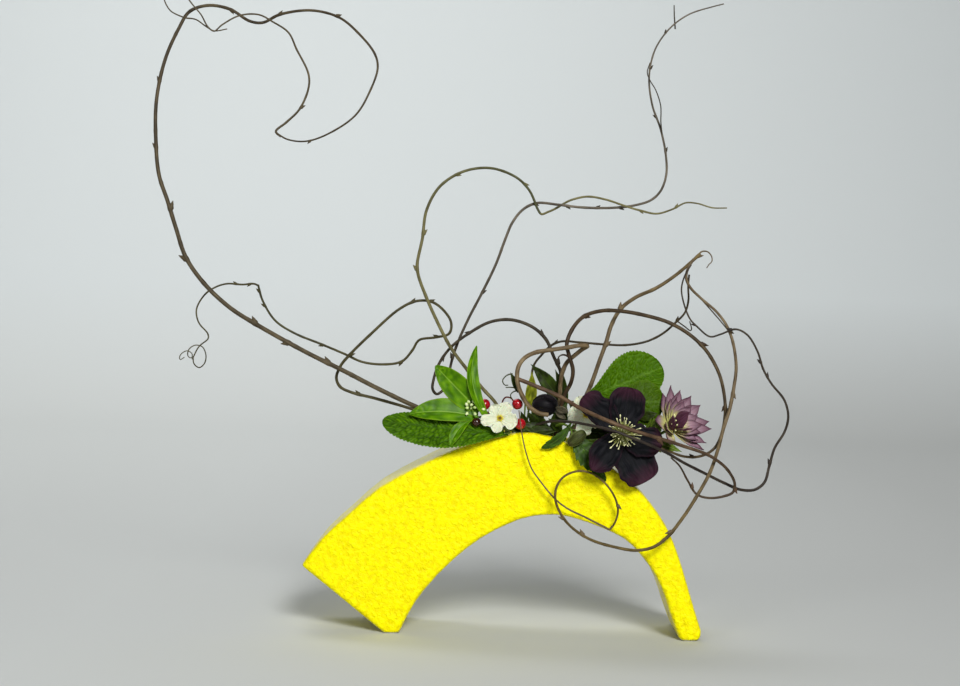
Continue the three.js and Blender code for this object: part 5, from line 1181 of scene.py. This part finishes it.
closedBuds = {
    "dark": {"middle": (33, 176, -24), "radii": (8.6, 8, 9.8), "foot": (35, -15),
             "stalk": [(36, 156, -17), (40.5, 166, -20), (39.5, 173, -23)]},
    "grey": {"middle": (57.6, 151.6, -44), "radii": (5, 4.6, 8), "foot": (46.5, -18.6),
             "stalk": [(48, 155, -22), (52.5, 157.5, -31), (56, 157.5, -38.5), (58, 155.5, -43)]},
    "bracts": (((41, 175, -27), (50.5, 171, -31), (0, -1, 0.4), 5.5),
               ((41, 172, -26), (49, 166, -30), (0, -1, 0.4), 4)),
}


def folded(count, depth, twist):  # overlapping sepals round a closed bud
    def shape(down, around):
        phase = (around + twist * down) * count / (2 * math.pi)
        step = phase - math.floor(phase)
        return 1 + depth * (step - 0.5) * math.sin(down) ** 0.8
    return shape


def buildClosedBuds():
    dark = petalTissue("darkBudSkin", ("#08080a", "#121013", "#221d22"), "#20141a", "#181116", gloss=0.5,
                       sheen=0.04, shine=0.15)
    grey = petalTissue("greyBudSkin", ("#1e1c0c", "#383e16", "#565e30"), "#382430", "#6f7a44", gloss=0.55)
    dried = petalTissue("driedBract", ("#3a3528", "#575240", "#7d765f"), "#4b4636", "#6a6450", gloss=0.7)
    bud = closedBuds["dark"]
    tilt = Matrix.Rotation(math.radians(80), 3, "Y") @ Matrix.Rotation(0.5, 3, "Z")
    layBall("darkHelleboreBud", seenInFront(bud["middle"]), bud["radii"], 36, 60, tilt,
            folded(5, 0.1, 0.35), dark, "near_black", "dark_hellebore_bud")
    growStalk("darkBudStalk", bud["foot"], bud["stalk"], 1.3, greenStalk, "near_black")
    layBlades("driedBudBracts", closedBuds["bracts"], dried, "grey_bud", shape="broad", rows=24, columns=8,
              arch=0.12, cup=0.5, sway=1)

    bud = closedBuds["grey"]
    layBall("greyNoddingBud", seenInFront(bud["middle"]), bud["radii"], 30, 48,
            Matrix.Rotation(0.9, 3, "Y"), folded(4, 0.14, 0.5), grey, "grey_bud", "grey_nodding_bud")
    growStalk("greyBudStalk", bud["foot"], bud["stalk"], 0.9, greenStalk, "grey_bud")


def flowerPlace(centre, facing):  # origin at the flower's middle, +Z the way it faces
    ahead = direction(*facing)
    side = Vector((0, 0, 1)).cross(ahead).normalized()
    axes = Matrix((side, ahead.cross(side), ahead)).transposed().to_4x4()
    return Matrix.Translation(seenInFront(centre)) @ axes


def up(height):  # a point above a flower's middle, in millimetres
    return Vector((0, 0, height * mm))


def addPetal(sheet, place, angle, spread, length, width, inner=1.5, lift=0, **look):
    angle, spread = math.radians(angle), math.radians(spread)
    outward = Vector((math.cos(angle), math.sin(angle), 0))
    upward = Vector((0, 0, 1))
    along = outward * math.sin(spread) + upward * math.cos(spread)
    facing = upward * math.sin(spread) - outward * math.cos(spread)
    root = outward * inner + upward * lift
    addBlade(sheet, place @ (root * mm), place @ ((root + along * length) * mm), place.to_3x3() @ facing,
             width, **look)


def petalTissue(name, tones, tipTone, rimTone, base=None, baseReach=(0.2, 0.45), outside=None, gloss=0.55,
                sheen=0.0, veins=0.5, rimFrom=0.75, tipFrom=0.85, glow=0.04, shine=0.25):
    # A petal: rows of cells fan out along it for a soft velvet; veins run with them and deepen the rim
    finish, tree, along, across, tint, upper = startFinish(name, {
        "IOR": 1.4, "Roughness": gloss, "Specular IOR Level": shine, "Sheen Weight": sheen,
        "Sheen Roughness": 0.4, "Subsurface Weight": glow, "Subsurface Scale": 0.001,
    }, "along", "across", "tint", "upper")
    fan = addNode(tree, "ShaderNodeCombineXYZ", {
        axis: addNode(tree, "ShaderNodeMath", {0: mark, 1: stretch}, operation="MULTIPLY")
        for axis, mark, stretch in (("X", across, 7.0), ("Y", along, 1.3), ("Z", tint, 20.0))})
    veinNoise = addNode(tree, "ShaderNodeTexNoise", {
        "Vector": fan, "Scale": 1.6, "Detail": 3.0, "Roughness": 0.65})
    colour = addNode(tree, "ShaderNodeValToRGB", {0: veinNoise}, stops=zip(
        (0.5 - 0.3 * veins, 0.5, 0.5 + 0.35 * veins), tones))
    away = addNode(tree, "ShaderNodeMath", {0: across}, operation="ABSOLUTE")
    wobble = addNode(tree, "ShaderNodeMath", {0: veinNoise, 1: 0.35}, operation="MULTIPLY")
    reach = addNode(tree, "ShaderNodeMath", {0: along, 1: wobble}, operation="ADD")
    colour = layTones(tree, colour, (tipTone, reach, tipFrom, 1.15, 0.85), (rimTone, away, rimFrom, 1.0, 0.9))
    if base:
        colour = layTones(tree, colour, (base, reach, *reversed(baseReach), 1.0))
    if outside:
        lower = addNode(tree, "ShaderNodeValToRGB", {0: veinNoise}, stops=zip((0.35, 0.6), outside))
        colour = addNode(tree, "ShaderNodeMix", {"Factor": upper, "A": lower, "B": colour},
                         data_type="RGBA")
    return endFinish(finish, colour, veinNoise, 0.2)


def pollenFinish(name, stops, gloss=0.6, grain=1800.0, depth=0.15):
    # Stamens and eyes: glassy pale threads and throats that end in powdery pollen
    finish, tree, place, along = startFinish(name, {"Roughness": gloss, "IOR": 1.4}, "place", "along")
    colour = addNode(tree, "ShaderNodeValToRGB", {0: along}, stops=stops)
    grains = addNode(tree, "ShaderNodeTexNoise", {"Vector": place, "Scale": grain})
    return endFinish(finish, colour, grains, depth)


primroses = {
    "look": {"shape": "primrose", "rows": 34, "columns": 24, "notch": 0.26, "cup": 0.1, "thickness": 0.6,
             "inner": 0.9, "ragged": 0.3},
    "blooms": (  # name, node, middle, facing, foot, stem, petals as (angle, length, width)
        ("frontPrimrose", "front_primrose", (-0.4, 165.1, -42), (-0.1, -0.97, 0.15), (5.5, -18.5),
         [(7.5, 157.5, -20.5), (6, 163, -27)],
         ((-14, 13, 12.5), (62, 12.6, 11), (122, 10.8, 10.5), (190, 13.8, 9.5), (255, 10.8, 9))),
        ("sidePrimrose", "side_primrose", (64.6, 169.4, -31), (-0.42, -0.9, 0.1), (48.5, -15.5),
         [(50, 155, -17.5), (56, 162, -22)],
         ((48, 14, 13), (118, 14.5, 13), (190, 14, 13), (266, 15, 13), (339, 14, 13))),
    ),
}


def dimpledEye(down, around):
    return (1 + 0.12 * math.cos(5 * around) * math.sin(down)) * (1 - 0.75 * math.exp(-(down / 0.4) ** 2))


def ribbedCup(down, around):
    return (0.85 + 0.2 * abs(math.cos(2.5 * around))) * (1.15 - 0.35 * down / math.pi)


def buildPrimroses():
    white = petalTissue("whitePetal", ("#bfc4a2", "#d6dabc", "#e6ead2"), "#dde0c8", "#e2e5cc", base="#cdb92c",
                        baseReach=(0.16, 0.36), outside=("#a9ae90", "#c4c9aa"), veins=0.8, glow=0.1)
    pollen = pollenFinish("pollenEye", (
        (0.08, "#5a4206"), (0.2, "#94780c"), (0.32, "#cfc02a"), (0.6, "#d9d04c")), 0.7, 1500.0, 0.2)
    for name, node, centre, facing, foot, route, petals in primroses["blooms"]:
        place = flowerPlace(centre, facing)
        turn = place.to_3x3()
        sheet = newSheet()
        for k, (angle, length, width) in enumerate(petals):
            addPetal(sheet, place, angle, 80, length, width, lift=0.3 * (k % 2), tint=0.19 * k + 0.05,
                     relief=wavy(1.5, k + len(name)), **primroses["look"])
        addBall(sheet, place @ up(-0.3), (2.6, 2.6, 0.9), 8, 20, turn, tint=0.9)
        laySheet(name + "Petals", sheet, white, "petal_white", node + "_petals")
        layBall(name + "Eye", place @ up(1.2), (2.3, 2.3, 0.9), 16, 25, turn, dimpledEye, pollen,
                "eye_yellow", node + "_eye")
        layBall(name + "Calyx", place @ up(-5.6), (2.6, 2.6, 5), 20, 30, turn, ribbedCup, calyxSkin,
                "stem_green")
        growStalk(name + "Stem", foot, route, 0.9, greenStalk, "stem_green", node + "_stem",
                  end=[place @ up(-7)])


darkHellebore = {
    "centre": (91, 155.6, -43),
    "facing": (0.14, -0.97, 0.14),
    "sepals": (  # angle, length, (left, right) width, spread, lift, wave, outline
        (80, 34, (13, 14), 86, 0, 2.6, "square"),
        (-14, 30, (11, 13), 82, 0.9, 2, "sepal"),
        (-58, 38.5, (13, 17.5), 88, 0, 2.6, "square"),
        (230, 34.5, (11, 11.5), 84, 0.9, 2.4, "sepal"),
        (138, 39, (8.5, 12.5), 90, 1.4, 2.4, "square"),
    ),
    "stamenRings": ((17, 62, 12.5), (21, 48, 12), (17, 34, 11), (12, 20, 10), (6, 8, 9)),
    "stamenRise": 4.6,  # millimetres from the flower's middle to the stamens' roots
    "nectaries": 11,
    "nectaryLength": 4.6,
    "nectaryPlace": (4.2, 2.6),  # millimetres out from the middle and up
    "foot": (51.5, -15.5),
    "route": [(56, 151.5, -18), (65, 150, -25), (77, 151, -31)],
}


def buildScatterTree():  # one shape on each point, turned to its aim and grown to its size
    tree = addTree("shapeOnPoints", {"Shape": "Object", "Finish": "Material"})
    source = addNode(tree, "NodeGroupInput")
    aim, size = (addNode(tree, "GeometryNodeInputNamedAttribute", {"Name": key}, data_type=kind)
                 for key, kind in (("aim", "FLOAT_VECTOR"), ("size", "FLOAT")))
    turned = addNode(tree, "FunctionNodeAlignRotationToVector", {"Vector": aim}, axis="Z")
    angle = addNode(tree, "FunctionNodeRandomValue", {2: 0.0, 3: 6.28, "Seed": 4}, data_type="FLOAT")
    spin = addNode(tree, "FunctionNodeAxisAngleToRotation", {"Axis": (0, 0, 1), "Angle": angle})
    spun = addNode(tree, "FunctionNodeRotateRotation", {"Rotation": turned, "Rotate By": spin},
                   rotation_space="LOCAL")
    shape = addNode(tree, "GeometryNodeObjectInfo", {"Object": source.outputs["Shape"]}).outputs["Geometry"]
    placed = addNode(tree, "GeometryNodeInstanceOnPoints", {
        "Points": addNode(tree, "GeometryNodeMeshToPoints", {"Mesh": source}), "Instance": shape,
        "Rotation": spun, "Scale": size})
    real = addNode(tree, "GeometryNodeRealizeInstances", {0: placed})
    addNode(tree, "NodeGroupOutput", {0: addNode(tree, "GeometryNodeSetMaterial", {
        "Geometry": real, "Material": source.outputs["Finish"]})})
    return tree


scatterTree = buildScatterTree()


# Each spot is (point, aim, size). rings gives the shape's radius and height from its foot to its top, and
# bend how far it leans over.
def scatter(name, spots, rings, sides, bend, finish, slot, node):
    points, along = [], []
    for r, z in rings:
        for j in range(sides):
            turn = 2 * math.pi * j / sides
            points.append((r * math.cos(turn) + bend * z * z, r * math.sin(turn), z))
            along.append(z)
    shape = useMesh("shape", points, ringFaces(len(rings), sides), finish, {"along": along})
    places, aims, sizes = zip(*spots)
    piece = useMesh(name, places, [], None, {"size": sizes, "aim": aims})
    applyTree(piece, scatterTree, {"Shape": shape, "Finish": finish})
    bpy.data.objects.remove(shape)
    settle(piece, slot, node)


def leaning(tilt, angle):
    return Vector((math.sin(tilt) * math.cos(angle), math.sin(tilt) * math.sin(angle), math.cos(tilt)))


def buildDarkHellebore():
    flower = darkHellebore
    velvet = petalTissue("darkVelvetSepal", ("#060709", "#0d0e12", "#1a191f"), "#3c1c2b", "#23121c",
                         outside=("#1c1618", "#30272a"), gloss=0.6, sheen=0.04, veins=0.6, rimFrom=0.8,
                         tipFrom=0.85, shine=0.12)
    place = flowerPlace(flower["centre"], flower["facing"])
    turn = place.to_3x3()
    sheet = newSheet()
    for k, (angle, length, width, spread, lift, wave, outline) in enumerate(flower["sepals"]):
        addPetal(sheet, place, angle, spread, length, width, shape=outline, lift=lift, rows=56, columns=40,
                 cup=0.12, arch=-0.03, ragged=0.22, relief=wavy(wave, 3 + 2 * k, 0.3), thickness=0.65,
                 tint=0.2 * k + 0.1)
    addBall(sheet, place @ up(0.4), (4, 4, 2.6), 10, 24, turn, tint=0.9)
    laySheet("darkHelleboreSepals", sheet, velvet, "near_black", "dark_hellebore_sepals")

    cream = pollenFinish("stamenCream", ((0.0, "#80843a"), (0.6, "#b5b76e"), (0.85, "#ecebb4")))
    stamens = []
    for ring, (count, lean, length) in enumerate(flower["stamenRings"]):
        for k in range(count):
            angle = 2 * math.pi * (k + 0.37 * ring) / count
            tilt = math.radians(lean) * (1 + 0.2 * math.sin(5 * angle + 2 * ring))
            root = Vector((0.9 * math.cos(angle) * mm, 0.9 * math.sin(angle) * mm, flower["stamenRise"] * mm))
            size = length * (1 + 0.18 * math.cos(3 * angle + ring)) * mm
            stamens.append((place @ root, turn @ leaning(tilt, angle), size))
    scatter("darkHelleboreStamens", stamens, (
        (0.024, 0), (0.016, 0.3), (0.016, 0.86), (0.03, 0.89), (0.038, 0.94), (0.03, 0.99), (0.01, 1.01)),
        6, 0.12, cream, "stamen_cream", "dark_hellebore_stamens")

    olive = pollenFinish("nectaryGreen", ((0.0, "#343a0e"), (0.6, "#5a6220"), (1.0, "#868a40")), 0.4)
    nectaries = []
    out, rise = flower["nectaryPlace"]
    for k in range(flower["nectaries"]):
        angle = 2 * math.pi * k / flower["nectaries"]
        outward = Vector((math.cos(angle), math.sin(angle), 0))
        nectaries.append((place @ ((outward * out + Vector((0, 0, rise))) * mm),
                          turn @ (outward * 0.8 + Vector((0, 0, 0.6))).normalized(),
                          flower["nectaryLength"] * mm))
    scatter("darkHelleboreNectaries", nectaries, (
        (0.12, 0), (0.16, 0.3), (0.22, 0.6), (0.27, 0.9), (0.25, 1.0), (0.15, 0.92), (0.1, 0.7)),
        10, 0.25, olive, "nectary_green", "dark_hellebore_nectaries")
    growStalk("darkHelleboreStem", flower["foot"], flower["route"], 1.6, greenStalk, "stem_green",
              "dark_hellebore_stem", end=[place @ up(depth) for depth in (-9, -1.5)])


doubleHellebore = {
    "heart": (127.5, 161, -24),
    "opens": (0.62, -0.62, 0.48),  # the way the whole flower looks
    "petals": (  # tip, width: seen from the front, clockwise from the left
        ((121.5, 187.5, -20), 13), ((127.2, 193.4, -15), 12), ((134.5, 190, -13), 14),
        ((142.8, 186, -13), 14), ((150, 179.2, -17), 14), ((156.8, 167.2, -22), 14),
        ((159, 161.6, -27), 13), ((155.2, 150.9, -33), 12), ((153.6, 145.2, -37), 11),
        ((142.4, 173.8, -46), 13), ((116.4, 167.4, -44), 14), ((128, 149, -46), 12),
    ),
    "rings": ((1, 1), (0.72, 0.85)),  # share of the length and the width: outer ring, shorter one inside
    "ringGap": 3,  # millimetres that the inner ring stands forward
    "facesMeet": 26,  # millimetres ahead of the heart, where the petals' faces look
    "rootReach": 1.5,
    "styles": 22,
    "styleLength": 11,
    "foot": (55.5, -4),
    "route": [(61, 152.5, -5), (72, 153, -9), (90, 152, -14), (106, 151.3, -18)],
    "bracts": (
        ((113, 152, -19), (137, 143.5, -27), (-0.2, -0.9, 0.3), 8),
        ((112, 151.9, -18.8), (113, 168, -29), (-0.2, -0.9, 0.3), 8),
        ((109, 151.6, -18.4), (121.5, 142.5, -26), (-0.2, -0.9, 0.3), 6),
        ((118, 155, -24), (115, 168.5, -30), (-0.2, -0.9, 0.3), 9),
    ),
}
goldenAngle = 2.399963


def buildDoubleHellebore():
    flower = doubleHellebore
    lilac = petalTissue("lilacSepal", ("#805a70", "#a5838f", "#ccb5c2"), "#45182f", "#381226", base="#d0d07a",
                        baseReach=(0.42, 0.78), outside=("#40192c", "#6a4054"), gloss=0.55, veins=0.7,
                        rimFrom=0.6, tipFrom=0.8)
    heart = seenInFront(flower["heart"])
    opens = direction(*flower["opens"])
    tips = [(seenInFront(tip), width) for tip, width in flower["petals"]]
    sheet = newSheet()
    for k, (tip, width) in enumerate(tips):
        for share, wide in flower["rings"]:
            if share < 1:
                halfway = tip.lerp(tips[(k + 1) % len(tips)][0], 0.5)
                tip = heart + (halfway - heart) * share + opens * flower["ringGap"] * mm
            root = heart + (tip - heart).normalized() * flower["rootReach"] * mm
            facing = heart + opens * flower["facesMeet"] * mm - root.lerp(tip, 0.5)
            addBlade(sheet, root, tip, facing.normalized(), width * wide, "pointed", 44, 20,
                     cup=0.3, arch=-0.06, ragged=0.12, relief=wavy(0.7, 20 + k, 0.25), thickness=0.6,
                     tint=0.07 * k + 0.03)
    addBall(sheet, heart + opens * 0.5 * mm, (3.3, 3.3, 3.2), 10, 20, tint=0.95)
    laySheet("doubleHellebore", sheet, lilac, "lilac", "double_hellebore_petals")

    lime = pollenFinish("limeStyle", ((0.0, "#a3a84a"), (0.6, "#cfd070"), (1.0, "#ecebae")), 0.45)
    turn = turnTo(opens)
    styles = []
    for k in range(flower["styles"]):
        way = leaning(0.1 + 0.04 * k, goldenAngle * k)
        root = heart + turn @ ((way * 1.2 + Vector((0, 0, 2.4))) * mm)
        styles.append((root, turn @ way, (flower["styleLength"] - 0.1 * k) * mm))
    scatter("doubleHelleboreMiddle", styles, (
        (0.07, 0), (0.05, 0.4), (0.045, 0.8), (0.07, 0.95), (0.02, 1.0)),
        8, 0.1, lime, "lime_centre", "double_hellebore_middle")
    growStalk("doubleHelleboreStem", flower["foot"], flower["route"], 1.5, greenStalk, "stem_green",
              "double_hellebore_stem", end=[heart - opens * depth * mm for depth in (9, 1.5)])
    layBlades("doubleHelleboreBracts", flower["bracts"], calyxSkin, "stem_green", shape="lance", rows=40,
              columns=14, cup=0.2, edge=sawTeeth(9, 0.2), relief=smoothFace(0.25))


calyxSkin = leafTissue("bractSkin", ((0.3, "#34480a"), (0.5, "#506814"), (0.75, "#748e30")),
                       "#8c9c50", "#73862e", "#7f9248", (8, 2.5), 0.3)
buildBerries()
buildClosedBuds()
print("berries and buds set")
buildPrimroses()
buildDarkHellebore()
buildDoubleHellebore()
print("flowers opened")


studio = {
    "floorTone": "#cdd0ce",
    "wallTone": "#d0d5d5",
    "rightPaintedShade": "#b6b8b6",  # painted shade: the floor darker at its right, where the light falls off
    "sweepStart": 1.7,  # metres behind the vase's middle where the paper starts to rise
    "sweepRadius": 1.1,
    "wallHeight": 2.8,
    "halfWidth": 3.2,
    "frontEdge": -3.0,
    "lights": (  # name, watts, width, place, aimed at
        ("frontBox", 128, 1.0, (0.8, -3.0, 2.0), (0, 0, 0.15)),
        ("leftBox", 14, 0.8, (-2.0, -2.6, 1.6), (0, 0, 0.15)),
        ("wallWash", 48, 1.8, (-0.7, 1.3, 2.7), (-0.2, 2.8, 0.9)),
    ),
    "roomTone": "#dfe4e8",
    "roomStrength": 0.05,
}


def seamlessPaper():
    # Matt background paper rolled down the wall and out over the table, with painted shade darkening the
    # floor towards the right
    finish, tree, place = startFinish("seamlessPaper", {"Roughness": 0.85, "IOR": 1.4}, "place")
    spot = addNode(tree, "ShaderNodeSeparateXYZ", {0: place})
    rise, shade = (
        addNode(tree, "ShaderNodeMapRange", {"Value": spot.outputs[axis], "From Min": low, "From Max": high})
        for axis, low, high in (("Z", 0.0, 0.25), ("X", -0.3, 0.6)))
    floor = addNode(tree, "ShaderNodeMix", {
        "Factor": shade, "A": linear(studio["floorTone"]),
        "B": linear(studio["rightPaintedShade"])}, data_type="RGBA")
    tone = addNode(tree, "ShaderNodeMix", {"Factor": rise, "A": floor, "B": linear(studio["wallTone"])},
                   data_type="RGBA")
    fibres = addNode(tree, "ShaderNodeTexNoise", {"Vector": place, "Scale": 700.0, "Detail": 2.0})
    return endFinish(finish, tone, fibres, 0.05)


def buildStudio():
    start, radius = studio["sweepStart"], studio["sweepRadius"]
    profile = [(studio["frontEdge"], 0), (-1, 0), (0, 0)]
    profile += [(start + radius * math.sin(a), radius * (1 - math.cos(a)))
                for a in (math.pi / 2 * k / 24 for k in range(25))]
    profile.append((start + radius, studio["wallHeight"]))
    points = [(side * studio["halfWidth"], y, z) for side in (-1, 1) for y, z in profile]
    count = len(profile)
    faces = [(k, k + count, k + count + 1, k + 1) for k in range(count - 1)]
    useMesh("backdrop", points, faces, seamlessPaper())

    scene = bpy.context.scene
    for name, watts, width, place, target in studio["lights"]:
        lamp = bpy.data.lights.new(name, "AREA")
        lamp.energy, lamp.size = watts, width
        holder = bpy.data.objects.new(name, lamp)
        holder.location = place
        holder.rotation_euler = (Vector(place) - Vector(target)).to_track_quat("Z", "Y").to_euler()
        scene.collection.objects.link(holder)
    scene.world = bpy.data.worlds.new("roomLight")
    scene.world.use_nodes = True
    room = scene.world.node_tree.nodes["Background"]
    room.inputs[0].default_value = linear(studio["roomTone"])
    room.inputs[1].default_value = studio["roomStrength"]
    scene.view_settings.view_transform = "Standard"


buildStudio()
print("studio lit")

bpy.data.objects.remove(budPiece)
